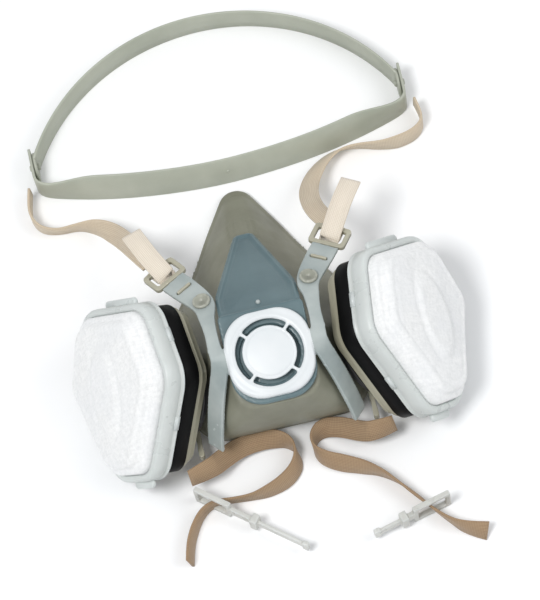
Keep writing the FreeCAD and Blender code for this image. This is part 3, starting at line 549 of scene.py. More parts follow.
def rounded_outline(corners, radii, inset=0.0, arc_steps=10, side_steps=8, least=LEAST_BEND):
    """Points round a convex anticlockwise polygon, moved in by inset, with rounded corners."""
    count = len(corners)
    arcs = []
    for (here, before, after), radius in zip(corner_ways(corners), radii):
        half = before.angle(after) / 2
        bend = max(radius - inset, least)
        bisector = (before + after).normalized() / math.sin(half)
        middle = here + bisector * (inset + bend)
        start = here + bisector * inset + before * bend / math.tan(half)
        turn = math.pi - 2 * half
        arcs.append([middle + rotated(start - middle, turn * k / arc_steps) for k in range(arc_steps + 1)])
    points = []
    for index, arc in enumerate(arcs):
        points += arc
        ahead = arcs[(index + 1) % count][0]
        points += [arc[-1].lerp(ahead, k / side_steps) for k in range(1, side_steps)]
    return points


# The outline of a right-hand cartridge before it is turned, clockwise from its top inner corner.
SHIELD = [(-25.0, 40.5), (25.0, 40.5), (38.5, 4.0), (14.0, -41.5), (-14.0, -41.5), (-38.5, 4.0)]
SHIELD_RADII = [13.6, 13.6, 17.0, 13.6, 13.6, 17.0]
SHIELD_TURN = math.radians(9.0)


def shield(side):
    """Anticlockwise corners and their radii for the cartridge on the given side."""
    corners = [rotated(Vector(corner), SHIELD_TURN) for corner in SHIELD]
    corners = [(side * corner.x, corner.y) for corner in corners]
    return (corners[::-1], SHIELD_RADII[::-1]) if side > 0 else (corners, SHIELD_RADII)


def cartridge_rings(where, side, profile, least=LEAST_BEND):
    """Rings on the cartridge's outline from (inset, height) points in millimetres."""
    corners, radii = shield(side)
    return [[where @ mm(spot.x, spot.y, height)
             for spot in rounded_outline(corners, radii, inset, least=least)]
            for inset, height in profile]


def edge_depth(x, y, corners, radius):
    """How far the points (x, y) lie inside an outline rounded by radius; negative outside."""
    inner = [here + (before + after).normalized() * radius / math.sin(before.angle(after) / 2)
             for here, before, after in corner_ways(corners)]
    inside = outside = np.full(np.shape(x), np.inf)
    for one, two in zip(inner, inner[1:] + inner[:1]):
        run = two - one
        along = run.normalized()
        inside = np.minimum(inside, along.x * (y - one.y) - along.y * (x - one.x))
        share = np.clip(((x - one.x) * run.x + (y - one.y) * run.y) / run.length_squared, 0.0, 1.0)
        outside = np.minimum(outside, np.hypot(x - one.x - share * run.x, y - one.y - share * run.y))
    return radius + np.where(inside >= 0, inside, -outside)


def smooth_step(value, low, high):
    share = np.clip((value - low) / (high - low), 0.0, 1.0)
    return share * share * (3 - 2 * share)


def bump_at(value, middle, half_width):
    """1 at middle, falling smoothly to 0 at half_width either side."""
    return 1.0 - smooth_step(np.abs(value - middle), 0.0, half_width)


# ---- straps

def route_line(name, points):
    """Points read along the NURBS spline that has the route as its control points."""
    curve = bpy.data.curves.new(name, "CURVE")
    curve.dimensions = "3D"
    curve.resolution_u = 8
    spline = curve.splines.new("NURBS")
    spline.points.add(len(points) - 1)
    for control, point in zip(spline.points, points):
        control.co = (*point, 1.0)
    spline.order_u = 3
    spline.use_endpoint_u = True
    holder = new_object(name, curve)
    data = made_mesh(holder)
    line = [v.co.copy() for v in data.vertices]
    bpy.data.objects.remove(holder)
    bpy.data.curves.remove(curve)
    bpy.data.meshes.remove(data)
    return line


def eased(values, passes):
    """The values, or points, averaged with their neighbours, with both ends held."""
    for _ in range(passes):
        inner = [(a + 2 * b + c) / 4 for a, b, c in zip(values, values[1:], values[2:])]
        values = [values[0]] + inner + [values[-1]]
    return values


def distance_and_share(spot, one, two):
    """How far spot is from the run from one to two, and how far along that run."""
    run = two - one
    share = max(0.0, min(1.0, (spot - one).dot(run) / run.length_squared))
    return (spot - one.lerp(two, share)).length, share


def rolls_along(line, points, rolls):
    """The ribbon's roll at each line point, from the rolls given at the route's points."""
    found = []
    for spot in line:
        reached = [distance_and_share(spot, one, two) for one, two in zip(points, points[1:])]
        best = min(range(len(reached)), key=lambda run: reached[run][0])
        share = smooth_step(reached[best][1], 0.0, 1.0)
        found.append(rolls[best] * (1 - share) + rolls[best + 1] * share)
    # Many passes leave no sudden twist.
    return eased(found, 12)


def ribbon(name, line, rolls, width, thickness):
    """A flat strap along line, with chamfered edges. A roll of 0 stands it on edge, 90 lays it flat."""
    half, thin, cut = width / 2, thickness / 2, thickness * 0.28
    section = [(-half, -thin + cut), (-half + cut, -thin), (half - cut, -thin), (half, -thin + cut),
               (half, thin - cut), (half - cut, thin), (-half + cut, thin), (-half, thin - cut)]
    rings, run, travelled = [], [], 0.0
    last = len(line) - 1
    for index, spot in enumerate(line):
        ahead = (line[min(index + 1, last)] - line[max(index - 1, 0)]).normalized()
        upright = (UP - ahead * UP.dot(ahead)).normalized()
        aside = ahead.cross(upright)
        roll = math.radians(rolls[index])
        across = upright * math.cos(roll) + aside * math.sin(roll)
        face = ahead.cross(across)
        rings.append([spot + across * a + face * b for a, b in section])
        if index:
            travelled += (spot - line[index - 1]).length
        run.append(travelled)
    obj = rings_object(name, rings, caps=True)
    layer = obj.data.uv_layers.new(name="weave")
    count = len(section)
    for polygon in obj.data.polygons:
        for corner in polygon.loop_indices:
            vertex = obj.data.loops[corner].vertex_index
            layer.data[corner].uv = (section[vertex % count][0] + half, run[vertex // count])
    return obj


# The roll of a ribbon that lies flat.
FLAT = 90.0
STRAP_WIDTH = 9.8 * MM
STRAP_THICKNESS = 1.2 * MM

# Routes of the straps: x, y from the valve and z in millimetres, then the roll in degrees.
STRAPS = {
    "upper_strap_left": (111.6, [
        (-45.0, 66.5, 42.5, 90), (-48.5, 73.5, 38.5, 88), (-52.0, 82.0, 31.5, 84), (-55.5, 91.5, 22.0, 76),
        (-60.0, 101.5, 12.5, 58), (-67.5, 110.0, 7.0, 26), (-77.0, 113.5, 5.5, -8),
        (-87.0, 113.0, 5.5, -12), (-95.5, 116.5, 5.5, -4), (-98.8, 123.5, 5.8, 0), (-98.2, 130.5, 6.3, 0),
        (-96.5, 137.5, 7.0, 0)]),
    "upper_strap_right": (133.9, [
        (41.5, 66.5, 42.5, 90), (38.0, 73.0, 38.5, 90), (35.7, 81.5, 32.0, 88), (35.0, 91.0, 23.5, 84),
        (36.0, 100.5, 15.0, 76), (39.5, 109.5, 9.0, 62), (46.0, 117.5, 6.2, 42), (55.0, 122.3, 5.5, 26),
        (65.0, 121.8, 5.5, 16), (75.0, 119.2, 5.5, 4), (84.5, 118.8, 5.5, -10), (93.0, 121.0, 5.5, -8),
        (97.8, 125.5, 5.9, 0), (98.0, 131.5, 6.3, 0), (96.5, 138.0, 7.0, 0)]),
    "lower_strap_left": (145.1, [
        (-49.5, -32.5, 15.2, -25), (-38.5, -29.5, 14.5, -50), (-33.0, -24.8, 10.0, -58),
        (-26.0, -20.2, 6.8, -62), (-17.5, -17.7, 5.4, -62), (-8.5, -17.9, 5.2, -48),
        (-1.2, -21.0, 5.2, -20), (2.0, -27.2, 5.2, 6), (0.8, -34.2, 5.2, 26), (-5.2, -40.0, 5.2, 30),
        (-14.0, -43.3, 5.2, 16), (-23.5, -44.6, 5.2, -6), (-33.0, -43.8, 5.2, -10),
        (-41.5, -43.2, 5.2, -4), (-48.0, -46.8, 5.2, 4), (-53.0, -54.0, 5.2, 10), (-56.5, -62.0, 5.2, 12),
        (-58.0, -69.5, 5.2, 12)]),
    "lower_strap_right": (141.9, [
        (49.0, -28.5, 14.8, 25), (38.5, -30.0, 14.0, 50), (32.0, -26.0, 9.0, 58), (24.5, -20.8, 6.2, 60),
        (16.8, -18.6, 5.3, 48), (11.2, -21.6, 5.2, 20), (9.4, -27.8, 5.2, 0), (13.2, -33.8, 5.2, -26),
        (20.5, -38.0, 5.2, -36), (29.0, -41.8, 5.2, -24), (37.5, -46.6, 5.2, 0), (44.5, -53.6, 5.2, 14),
        (50.5, -61.4, 5.2, 18), (56.5, -69.8, 5.2, 14), (62.9, -77.6, 5.2, 8), (70.0, -83.6, 5.0, -14),
        (79.0, -86.8, 4.0, -40)]),
}

# The free end of each upper strap: under the buckle's outer bar, up through its window and back over it.
TAILS = {
    "upper_tail_left": [
        (-43.4, 63.4, 43.6), (-41.0, 59.4, 44.2), (-38.9, 55.7, 46.6), (-39.6, 56.6, 49.0),
        (-42.4, 61.4, 50.0), (-45.4, 67.8, 49.2), (-47.6, 73.4, 48.6), (-49.4, 78.2, 47.2),
        (-51.0, 83.0, 45.0)],
    "upper_tail_right": [
        (43.4, 63.4, 43.6), (41.0, 59.4, 44.2), (38.9, 55.7, 46.6), (39.6, 56.6, 49.0), (42.6, 61.4, 50.0),
        (46.0, 67.8, 49.4), (49.2, 73.4, 49.2), (52.6, 78.8, 48.2), (55.5, 83.8, 46.0)],
}


# ---- facepiece, panel and yoke

# The nose plate lies in this frame: x across, y up the nose and z out of its face.
PANEL_LENGTH = 61.0
PANEL_RADIUS = 3.0
PANEL_CORNERS = [(-19.2, -2.0), (19.2, -2.0), (19.2, 14.0), (4.6, PANEL_LENGTH), (-4.6, PANEL_LENGTH),
                 (-19.2, 14.0)]
PANEL_TILT = math.radians(-28.7)
PANEL = Matrix.Translation(FRONT @ mm(0, 20.0, -7.6)) @ Matrix.Rotation(PANEL_TILT, 4, "X")

RIB_SPACING = 2.6 * MM
RIBS_HALF_WIDTH = 6.5 * MM


def make_facepiece():
    """The elastomer body, softened from its CAD form, with a rolled rim, nose ribs and a panel bead."""
    obj = skin_of("facepiece", "facepiece_skin", 1.0 * MM, 6)
    low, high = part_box("facepiece")
    spots, normals = spots_of(obj), read_rows(obj.data.vertices, "normal")
    x, y, z = spots.T
    # A rolled sealing rim runs round the foot.
    move = 0.9 * bump_at(z - low.z, 2.2 * MM, 2.6 * MM) * (normals[:, 2] > -0.6)
    # Fine ribs run down the nose from the apex to the panel's tip.
    ribs_start = (PANEL @ mm(0, PANEL_LENGTH)).y
    reach = smooth_step(y, ribs_start + 2 * MM, ribs_start + 5 * MM)
    reach *= 1.0 - smooth_step(y, ribs_start + 14 * MM, ribs_start + 17 * MM)
    outside = normals[:, 2] > 0.2
    move += 0.3 * reach * np.cos(2 * math.pi * x / RIB_SPACING) * (outside & (np.abs(x) < RIBS_HALF_WIDTH))
    # A soft hollow each side of the nose, and slight unevenness of the moulding.
    flank = bump_at(np.abs(x), 24 * MM, 18 * MM) * bump_at(y, high.y - 52 * MM, 34 * MM)
    move -= 1.3 * flank * outside
    move += 0.12 * noise_rows(spots, 60)
    # A raised bead frames the panel.
    near = through(PANEL.inverted(), spots) / MM
    depth = edge_depth(near[:, 0], near[:, 1], PANEL_CORNERS, PANEL_RADIUS)
    move += 1.2 * bump_at(depth, -1.7, 1.6) * (outside & (near[:, 2] > -3.0))
    write_rows(obj, spots + normals * move[:, None] * MM)
    shade(obj, "elastomer", "mask", replaced="facepiece")


def make_panel():
    """The rigid front panel: its nose plate is crowned, with a raised lip just inside the edge."""
    obj = skin_of("front_panel", "front_panel_skin", 0.6 * MM, 4)
    near = through(PANEL.inverted(), spots_of(obj)) / MM
    depth = edge_depth(near[:, 0], near[:, 1], PANEL_CORNERS, PANEL_RADIUS)
    lift = 0.6 * bump_at(depth, 1.6, 1.3) - 0.35 * bump_at(depth, 3.6, 1.4)
    lift += 0.9 * smooth_step(depth, 3.5, 15.0)
    lift *= smooth_step(near[:, 1], 1.5, 6.0) * ((near[:, 2] >= 1.2) & (depth >= -1.0))
    near[:, 2] += lift
    write_rows(obj, through(PANEL, near * MM))
    shade(obj, "panel_plastic", "mask", replaced="front_panel")
    gate = lathe("panel_gate_mark", PANEL @ Matrix.Translation(mm(0, 4.6, 3.1)),
                 [(0.15, 0.9), (0.8, 0.7), (1.1, 0.1), (1.1, -0.6), (0.15, -0.6)], steps=20)
    shade(gate, "yoke_plastic", "mask")


# The valve cover is a rounded square, and its middle disc ends at this radius.
COVER_CORNERS = [(-20.0, -20.0), (20.0, -20.0), (20.0, 20.0), (-20.0, 20.0)]
COVER_RADIUS = 15.0
COVER_DISC = 12.5


def make_yoke():
    """Valve cover and both harness strips in one moulding, softened at every edge."""
    obj = skin_of("harness_yoke", "harness_yoke_skin", 0.45 * MM, 6)
    spots = spots_of(obj)
    near = through(FRONT.inverted(), spots) / MM
    reach = np.hypot(near[:, 0], near[:, 1])
    # The rim falls slightly towards the slot, and the middle disc is a low dome.
    lift = 0.35 * bump_at(reach, 17.3, 1.6)
    dome = 0.9 * (1.0 - (reach / COVER_DISC) ** 2) - 0.35 * bump_at(reach, 11.2, 0.8)
    lift += np.where(reach < COVER_DISC, dome, 0.0)
    lift *= (near[:, 2] > -2.2) & (np.abs(near[:, :2]).max(axis=1) < 20.5)
    write_rows(obj, spots + np.array(FRONT_AXIS) * lift[:, None] * MM)
    shade(obj, "yoke_plastic", "mask", replaced="harness_yoke")
    # The cover is a paler white than the arms, so its faces take the second look.
    obj.data.materials.append(LOOKS["cover_plastic"])
    near = through(FRONT.inverted(), read_rows(obj.data.polygons, "center")) / MM
    depth = edge_depth(near[:, 0], near[:, 1], COVER_CORNERS, COVER_RADIUS)
    cover = (depth > -0.2) & (near[:, 2] > -4.6)
    obj.data.polygons.foreach_set("material_index", cover.astype(np.int32))


def make_studs():
    """Round snap studs with a dished face and four notches in the rim."""
    for name, side in SIDES:
        node = "snap_stud_" + name
        # The stud stands square on the yoke's upper arm, which runs this way there.
        normal = Vector((side * 0.10, 0.31, 0.945)).normalized()
        along = Vector((side * 11.5, 18.0, -7.0))
        along = (along - normal * along.dot(normal)).normalized()
        where = place(centre(node), along.cross(normal), along, normal)
        profile = [(0.2, 1.7), (2.4, 1.75), (2.8, 2.1), (3.6, 2.55), (4.1, 2.35), (4.3, 1.8), (4.2, 1.1),
                   (2.4, 1.0), (2.3, -1.2), (3.3, -1.4), (3.4, -2.4), (0.2, -2.5)]
        stud = lathe("snap_stud_head_" + name, where, profile, steps=48)
        inverse = where.inverted()
        for vertex in stud.data.vertices:
            spot = inverse @ vertex.co
            turn = math.atan2(spot.y, spot.x)
            if spot.z > 1.5 * MM and 2.9 < math.hypot(spot.x, spot.y) / MM < 4.2:
                vertex.co -= normal * 0.45 * MM * max(0.0, math.cos(4 * turn)) ** 6
        shade(stud, "stud_plastic", "mask", replaced=node)


def make_buckles():
    for name, _ in SIDES:
        obj = skin_of("upper_buckle_" + name, "upper_buckle_skin_" + name, 0.3 * MM, 4)
        shade(obj, "buckle_plastic", "mask", replaced="upper_buckle_" + name)


# ---- cartridges

def box_object(name, where, low, high):
    corners = [(x, y, z) for z in (low[2], high[2]) for x, y in
               ((low[0], low[1]), (high[0], low[1]), (high[0], high[1]), (low[0], high[1]))]
    faces = [(3, 2, 1, 0), (4, 5, 6, 7), (0, 1, 5, 4), (1, 2, 6, 5), (2, 3, 7, 6), (3, 0, 4, 7)]
    return mesh_object(name, [where @ mm(*c) for c in corners], faces)


def make_cup(name, where, side):
    """Cartridge cup with a plain wall behind the label and two rounded steps towards the mask."""
    profile = [(5.2, -9.0), (3.2, -9.0), (3.0, -9.3), (3.0, -19.4), (3.2, -19.8), (3.6, -20.0),
               (3.8, -20.4), (3.8, -22.5), (4.1, -22.9), (5.3, -23.1), (5.8, -23.4), (6.0, -23.9),
               (6.0, -26.5), (6.4, -27.0), (18.5, -27.0), (18.5, -25.2), (8.0, -25.0), (7.6, -18.2),
               (5.2, -17.9)]
    cup = rings_object("cartridge_cup_skin_" + name, cartridge_rings(where, side, profile), closed=True)
    shade(soften(cup, 0.2 * MM), "cup_plastic", "mask", replaced="cartridge_cup_" + name)


def make_label(name, where, side):
    """A plain black band round the cup."""
    profile = [(2.37, -10.6), (2.62, -10.4), (2.97, -10.4), (2.97, -19.8), (2.62, -19.8), (2.37, -19.6)]
    band = rings_object("label_band_skin_" + name, cartridge_rings(where, side, profile), closed=True)
    shade(band, "label_film", "mask", replaced="label_band_" + name)


def make_gasket(name, where):
    profile = [(18.2, -27.1), (18.0, -29.8), (24.6, -29.9), (26.2, -29.7), (26.6, -29.2), (26.1, -28.7),
               (26.1, -28.3), (26.6, -27.9), (26.2, -27.2), (24.6, -27.05)]
    ring = lathe("cartridge_gasket_skin_" + name, where, profile, steps=96)
    shade(ring, "gasket_rubber", "mask", replaced="cartridge_gasket_" + name)


def make_retainer(name, where, side):
    """Snap-on frame: a flared skirt with a bead, a rolled lip over the pad, tabs and small catches."""
    profile = [(0.3, -10.0), (-0.1, -9.6), (-0.1, -8.9), (0.35, -8.5), (0.35, -7.4), (0.0, -7.0), (0.0, -2.6),
               (0.2, -1.4), (0.7, -0.5), (1.4, -0.08), (2.2, 0.0), (2.9, -0.25), (3.35, -0.8), (3.3, -1.3),
               (2.9, -1.6), (2.4, -1.8), (2.0, -2.3), (1.8, -3.2), (1.8, -9.7), (1.4, -10.0)]
    parts = [rings_object("rim", cartridge_rings(where, side, profile), closed=True)]
    turned = where @ Matrix.Rotation(side * SHIELD_TURN, 4, "Z")
    # A wide finger tab at the top and a narrow one at the bottom: low and high edge and half width.
    for low, high, half in ((39.0, 43.4, 12.0), (-44.9, -40.5, 7.0)):
        corners = [(-half, low), (half, low), (half, high), (-half, high)]
        rings = [[turned @ mm(p.x, p.y, z) for p in rounded_outline(corners, [1.9] * 4, inset, 6, 3, 1.0)]
                 for inset, z in ((0.4, -7.2), (0.0, -6.7), (0.0, -5.5), (0.4, -5.0))]
        parts.append(rings_object("tab", rings, caps=True))
    # A small catch near the middle of each long flank.
    corners, _ = shield(side)
    for one, two in zip(corners, corners[1:] + corners[:1]):
        run = Vector(two) - Vector(one)
        along = run.normalized()
        if run.length < 35.0 or abs(along.x) > 0.9:
            continue
        spot = Vector(one) + run * 0.55 - Vector((-along.y, along.x)) * 0.1
        x_axis = (where.to_3x3() @ Vector((along.x, along.y, 0))).normalized()
        z_axis = (where.to_3x3() @ Vector((0, 0, 1))).normalized()
        flank = place(where @ mm(spot.x, spot.y, 0), x_axis, z_axis.cross(x_axis), z_axis)
        parts.append(box_object("catch", flank, (-3.4, -0.6, -9.6), (3.4, 0.9, -7.2)))
    shade(join(parts, "filter_retainer_skin_" + name), "retainer_plastic", "retainer_" + name,
          replaced="filter_retainer_" + name)


# Prefilter pad: inset and height of its outside, from the hidden flange up two tiers to the flat top.
PAD_PROFILE = [(5.0, -7.2), (3.0, -7.2), (2.4, -6.8), (2.4, -2.4), (2.8, -1.9), (3.65, -1.9),
               (3.7, -0.6), (3.75, 0.9), (3.9, 2.3), (4.25, 3.3), (4.9, 3.9), (5.8, 4.2), (6.6, 4.6),
               (7.0, 5.3), (7.2, 6.3), (7.5, 7.3), (8.1, 8.0), (9.1, 8.5), (10.3, 8.7), (11.6, 8.8)]
PAD_BEND = 9.5
PAD_CLOTH = {"quality": 5, "mass": 0.2, "use_pressure": True, "uniform_pressure_force": 4.0,
             "tension_stiffness": 20.0, "compression_stiffness": 20.0, "bending_stiffness": 6.0}
CLOTH_FRAMES = 20
MOST_SWELL = 1.3 * MM
# The plateau in the middle of the pad is an oval: its middle's height and its half sizes.
PLATEAU_Y = 2.0
PLATEAU_HALF = (10.0, 20.0)


def pad_rings(where, side):
    """Rings over the pad: up its sides by PAD_PROFILE, then shrinking across its flat top."""
    rings = cartridge_rings(where, side, PAD_PROFILE, PAD_BEND)
    middle = sum(rings[-1], Vector()) / len(rings[-1])
    return rings + [[spot.lerp(middle, share / 12) for spot in rings[-1]] for share in range(1, 12)]


def pad_swell():
    """How the felt swells on the right cartridge: start points and their moves, from a cloth simulation."""
    where = cartridge_place("right")
    body = remesh(rings_object("pad_cloth", pad_rings(where, 1), caps=True), 4.0 * MM)
    start = spots_of(body)
    settings = modify(body, "CLOTH").settings
    for key, value in PAD_CLOTH.items():
        setattr(settings, key, value)
    settings.effector_weights.gravity = 0.0
    # The rim, under the retainer's lip, is held.
    rim = body.vertex_groups.new(name="rim")
    inverse = where.inverted()
    rim.add([v.index for v in body.data.vertices if (inverse @ v.co).z < -1.0 * MM], 1.0, "REPLACE")
    settings.vertex_group_mass = "rim"
    SCENE.frame_start, SCENE.frame_end = 1, CLOTH_FRAMES
    for step in range(1, CLOTH_FRAMES + 1):
        SCENE.frame_set(step)
    data = made_mesh(body)
    bpy.data.objects.remove(body)
    SCENE.frame_set(1)
    start = through(inverse, start)
    moves = through(inverse, read_rows(data.vertices, "co")) - start
    lengths = np.linalg.norm(moves, axis=1)
    return start, moves * np.minimum(1.0, MOST_SWELL / np.maximum(lengths, 1e-9))[:, None]


def make_pad(name, where, side, swell):
    """White felt pad: two formed tiers, a flat top with a groove round it, and a raised oval plateau."""
    pad = rings_object("prefilter_pad_skin_" + name, pad_rings(where, side), caps=True)
    modify(pad, "SUBSURF", levels=1, render_levels=1)
    apply_modifiers(pad)
    near = through(where.inverted(), spots_of(pad))
    face = near[:, 2] > 0.4 * MM
    if swell:
        tree = KDTree(len(swell[0]))
        for index, spot in enumerate(swell[0]):
            tree.insert((side * spot[0], spot[1], spot[2]), index)
        tree.balance()
        pushes = np.zeros_like(near)
        for index in np.flatnonzero(face):
            found = tree.find_n(near[index], 6)
            weights = [1.0 / (distance + 0.3 * MM) for _, _, distance in found]
            pushes[index] = sum(swell[1][i] * w for (_, i, _), w in zip(found, weights)) / sum(weights)
        near += pushes * (side, 1, 1)
    corners, radii = shield(side)
    x, y = near[:, 0] / MM, near[:, 1] / MM
    turned_x = side * x * math.cos(SHIELD_TURN) + y * math.sin(SHIELD_TURN)
    turned_y = y * math.cos(SHIELD_TURN) - side * x * math.sin(SHIELD_TURN)
    depth = edge_depth(x, y, corners, max(radii))
    middle_gap = np.hypot(turned_x / PLATEAU_HALF[0], (turned_y - PLATEAU_Y) / PLATEAU_HALF[1])
    # A low dome inside a shallow groove, then the long plateau with a groove round it.
    lift = 0.8 * smooth_step(depth, 12.0, 26.0) - 0.35 * bump_at(depth, 11.4, 1.8)
    lift += 1.0 * (1.0 - smooth_step(middle_gap, 0.84, 1.04)) - 0.4 * bump_at(middle_gap, 1.14, 0.16)
    lift += 0.2 * noise_rows(near, 70)
    near[:, 2] += lift * face * MM
    write_rows(pad, through(where, near))
    shade(pad, "filter_felt", "prefilter_" + name, replaced="prefilter_pad_" + name)


def make_cartridges():
    swell = pad_swell()
    for name, side in SIDES:
        where = cartridge_place(name)
        make_cup(name, where, side)
        make_label(name, where, side)
        make_gasket(name, where)
        make_retainer(name, where, side)
        make_pad(name, where, side, swell)
        shade(soften(NODES["cartridge_grid_" + name], 0.15 * MM), "cup_plastic")
        shade(NODES["sorbent_bed_" + name], "carbon")
        shade(soften(NODES["inhalation_port_" + name], 0.2 * MM), "panel_plastic")
        shade(soften(NODES["inhalation_valve_" + name], 0.15 * MM), "valve_rubber")


# ---- head cradle

CRADLE_WIDTH = 15.0 * MM
CRADLE_THICKNESS = 1.3 * MM
CRADLE_MIDDLE = 7.5
BACK_LEAN = 24.5
# Rivet heads on the back band: x, and the height up its leaning face.
DOTS = ((-85.0, 4.5), (-83.5, 9.5), (-78.0, 6.0), (0.0, 7.5), (78.0, 4.5), (83.5, 9.5), (85.5, 5.0))


def dot_mark(name, spot, normal):
    """A small moulded rivet head on the back band."""
    aside = normal.cross(UP).normalized()
    mark = lathe(name, place(spot, aside, normal.cross(aside), normal),
                 [(0.1, 0.55), (0.54, 0.5), (0.828, 0.25), (0.9, -0.3), (0.1, -0.3)], steps=20)
    shade(mark, "cradle_plastic", "harness")


def make_back_band():
    """Neck-side band: upright tip plates, a tight bend at each, and a long leaning arc between them."""
    half_chord, sag, low_y = 89.5, 15.0, 121.0
    radius = (half_chord ** 2 + sag ** 2) / (2 * sag)
    reach = math.asin(half_chord / radius)
    tip_x, tip_y, tip_length = 92.8, 156.5, 18.5
    tips = {side: [from_valve(side * tip_x, tip_y - tip_length * k / 11, CRADLE_MIDDLE) for k in range(12)]
            for side in (-1, 1)}
    arc, rolls = [], []
    for k in range(81):
        turn = reach * (2 * k / 80 - 1)
        # The lean grows from each bend inwards.
        lean = BACK_LEAN * smooth_step(min(k, 80 - k) / 12, 0.0, 1.0)
        height = CRADLE_MIDDLE * math.cos(math.radians(lean))
        arc.append(from_valve(radius * math.sin(turn), low_y + radius * (1 - math.cos(turn)), height)
                   + Y_AXIS * 0.5 * CRADLE_WIDTH * math.sin(math.radians(lean)))
        rolls.append(-lean)
    upright = [0.0] * 12
    band = ribbon("cradle_back_skin", eased(tips[-1] + arc + tips[1][::-1], 3), upright + rolls + upright,
                  CRADLE_WIDTH, CRADLE_THICKNESS)
    for vertex in band.data.vertices:
        vertex.co += Y_AXIS * 0.25 * MM * noise.noise(vertex.co * 25)
    shade(band, "cradle_plastic", "harness", replaced="cradle_back_band")
    lean = math.radians(BACK_LEAN)
    normal = Vector((0, -math.cos(lean), math.sin(lean)))
    for index, (x, height) in enumerate(DOTS):
        turn = math.asin(x / radius)
        foot = from_valve(x, low_y + radius * (1 - math.cos(turn)), 0)
        spot = foot + Vector((0, height * math.sin(lean), height * math.cos(lean))) * MM
        tilted = Matrix.Rotation(turn, 3, "Z") @ normal
        dot_mark("cradle_dot_%d" % index, spot + tilted * 0.6 * MM, tilted)


def make_crown_band():
    """Crown-side band on a tight arc, standing on edge, with a round ear on each peg."""
    end_x, end_y, top_y = 91.15, 151.0, 208.0
    rise = top_y - end_y
    radius = (end_x ** 2 + rise ** 2) / (2 * rise)
    reach = math.asin(end_x / radius)
    line, rolls = [], []
    for k in range(97):
        share = 2 * k / 96 - 1
        turn = reach * share
        line.append(from_valve(radius * math.sin(turn), top_y - radius * (1 - math.cos(turn)), CRADLE_MIDDLE))
        rolls.append(3.0 * math.sin(3 * share) * (1 - abs(share)))
    band = ribbon("cradle_crown_skin", line, rolls, CRADLE_WIDTH, CRADLE_THICKNESS)
    shade(band, "cradle_plastic", "crown", replaced="cradle_crown_band")
    for name, side in SIDES:
        where = place(from_valve(side * end_x, 149.5, CRADLE_MIDDLE), Y_AXIS, UP, X_AXIS)
        profile = [(1.7, 0.7), (6.9, 0.72), (7.35, 0.4), (7.45, 0.0), (7.35, -0.4), (6.9, -0.72), (1.7, -0.7)]
        ear = lathe("crown_ear_" + name, where, profile, steps=56)
        shade(ear, "cradle_plastic", "crown")
        where = place(centre("cradle_peg_" + name), Y_AXIS, UP, X_AXIS)
        profile = [(0.1, 2.7), (1.2, 2.65), (1.55, 2.3), (1.6, 1.6), (1.6, -1.6), (1.55, -2.3),
                   (1.2, -2.65), (0.1, -2.7)]
        peg = lathe("cradle_peg_skin_" + name, where, profile, steps=32)
        shade(peg, "cradle_plastic", "harness", replaced="cradle_peg_" + name)


# ---- straps, tails and neck clips

def make_straps(clips):
    for name, (length, route) in STRAPS.items():
        points = [from_valve(x, y, z) for x, y, z, _ in route]
        line = route_line(name + "_line", points)
        rolls = rolls_along(line, points, [roll for _, _, _, roll in route])
        strap = ribbon(name + "_weave", line, rolls, STRAP_WIDTH, STRAP_THICKNESS)
        upper = name.startswith("upper")
        if upper:
            shade(strap, "webbing", replaced=name)
            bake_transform(strap)
            pieces = [make_tail(name.replace("strap", "tail"))]
        else:
            # The neck straps take the darker copy of the webbing: painted shade.
            shade(strap, "painted_shade_neck_webbing", "mask", name)
            pieces = clips[name]


def make_tail(name):
    points = [from_valve(*p) for p in TAILS[name]]
    line = route_line(name + "_line", points)
    tail = ribbon(name + "_weave", line, [FLAT] * len(line), STRAP_WIDTH, STRAP_THICKNESS)
    # The tail takes the paler copy of the webbing: painted light.
    shade(tail, "painted_light_tail_webbing", replaced=name)
    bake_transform(tail)
    return tail


# Each neck clip: its body, its strap, where the strap crosses it, the way it points, and how far
# from there its catch is and its rail ends, in millimetres.
CLIPS = {
    "neck_clip_hook": ("clip_hook", "lower_strap_left", (-41.5, -43.2), -40.0, 22.0, 50.5),
    "neck_clip_loop": ("clip_loop", "lower_strap_right", (56.5, -69.8), 194.0, 14.0, 29.5),
}


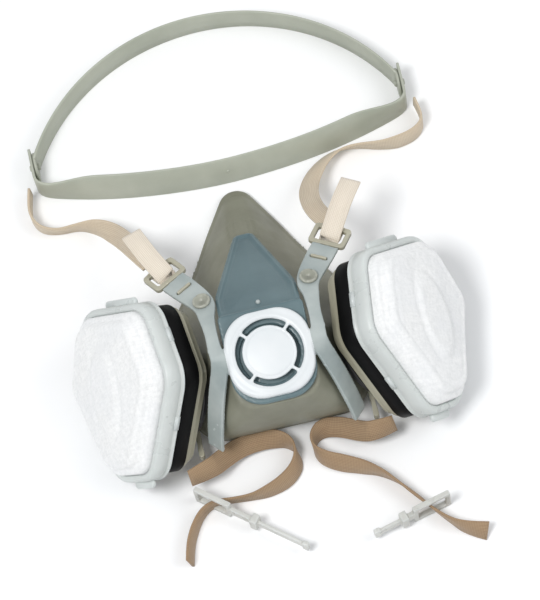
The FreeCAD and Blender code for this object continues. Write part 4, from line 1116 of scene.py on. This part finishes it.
def make_clips():
    """Translucent clips standing on edge, each a window that the strap runs through, a catch and a rail."""
    made = {}
    for node, (body, strap, (x, y), heading, catch, reach) in CLIPS.items():
        where = Matrix.Translation(from_valve(x, y, 0)) @ Matrix.Rotation(math.radians(heading), 4, "Z")
        # Each bar: low and high x, low and high z, and thickness.
        bars = [(-9.4, 9.4, 0.0, 2.4, 2.6), (-9.4, 9.4, 11.6, 14.0, 2.6), (-9.4, -7.2, 0.0, 14.0, 2.6),
                (7.2, 9.4, 0.0, 14.0, 2.6), (9.0, catch, 4.2, 9.8, 2.2),
                (catch - 1.5, catch + 2.0, 2.5, 11.5, 5.0), (catch + 1.0, reach, 4.8, 9.2, 1.6),
                (reach - 3.0, reach, 3.6, 10.4, 2.4)]
        parts = [box_object("bar", where, (low, -thick / 2, bottom), (high, thick / 2, top))
                 for low, high, bottom, top, thick in bars]
        clip = relax(remesh(join(parts, node + "_skin"), 0.35 * MM), 5)
        shade(clip, "clip_plastic", body, replaced=node)
        made[strap] = [clip]
    return made


def make_keepers():
    """Slim slide bars that hold the neck straps, waisted in the middle."""
    for name, _ in SIDES:
        node = "lower_keeper_" + name
        keeper = skin_of(node, node + "_skin", 0.3 * MM, 4)
        spots = spots_of(keeper)
        middle = centre(node)
        waist = 0.22 * bump_at(spots[:, 1], middle.y, 4.5 * MM)
        spots[:, 0] -= (spots[:, 0] - middle.x) * waist
        write_rows(keeper, spots)
        shade(keeper, "buckle_plastic", "mask", replaced=node)


# ---- floor

def studio_floor():
    look = Look("studio_floor")
    base = look.mix(look.span(look.noise(3.0, 2.0), 0.3, 0.7), srgb((250, 250, 250)), srgb((247, 248, 249)))
    return look.finish(look.surface(base, 0.85))


def make_floor():
    """A wide pale floor whose far edge curls up gently, as a paper sweep does."""
    size, steps = 3.0, 24
    row_length = steps + 1
    points, faces = [], []
    for row in range(row_length):
        y = size * (2 * row / steps - 1)
        height = 0.5 * smooth_step(y, 1.6, 3.4)
        points += [(size * (2 * column / steps - 1), y, height) for column in range(row_length)]
        if row < steps:
            faces += [(first, first + 1, first + row_length + 1, first + row_length)
                      for first in range(row * row_length, row * row_length + steps)]
    floor = mesh_object("studio_floor", points, faces)
    floor.data.materials.append(studio_floor())


make_camera()
make_studio()
make_straps(make_clips())
make_floor()
make_facepiece()
make_panel()
make_yoke()
make_studs()
make_buckles()
make_keepers()
make_cartridges()
make_back_band()
make_crown_band()
shade(soften(NODES["exhalation_valve_seat"], 0.15 * MM), "panel_plastic")
shade(soften(NODES["exhalation_valve_flap"], 0.12 * MM), "valve_rubber")

bpy.context.view_layer.update()
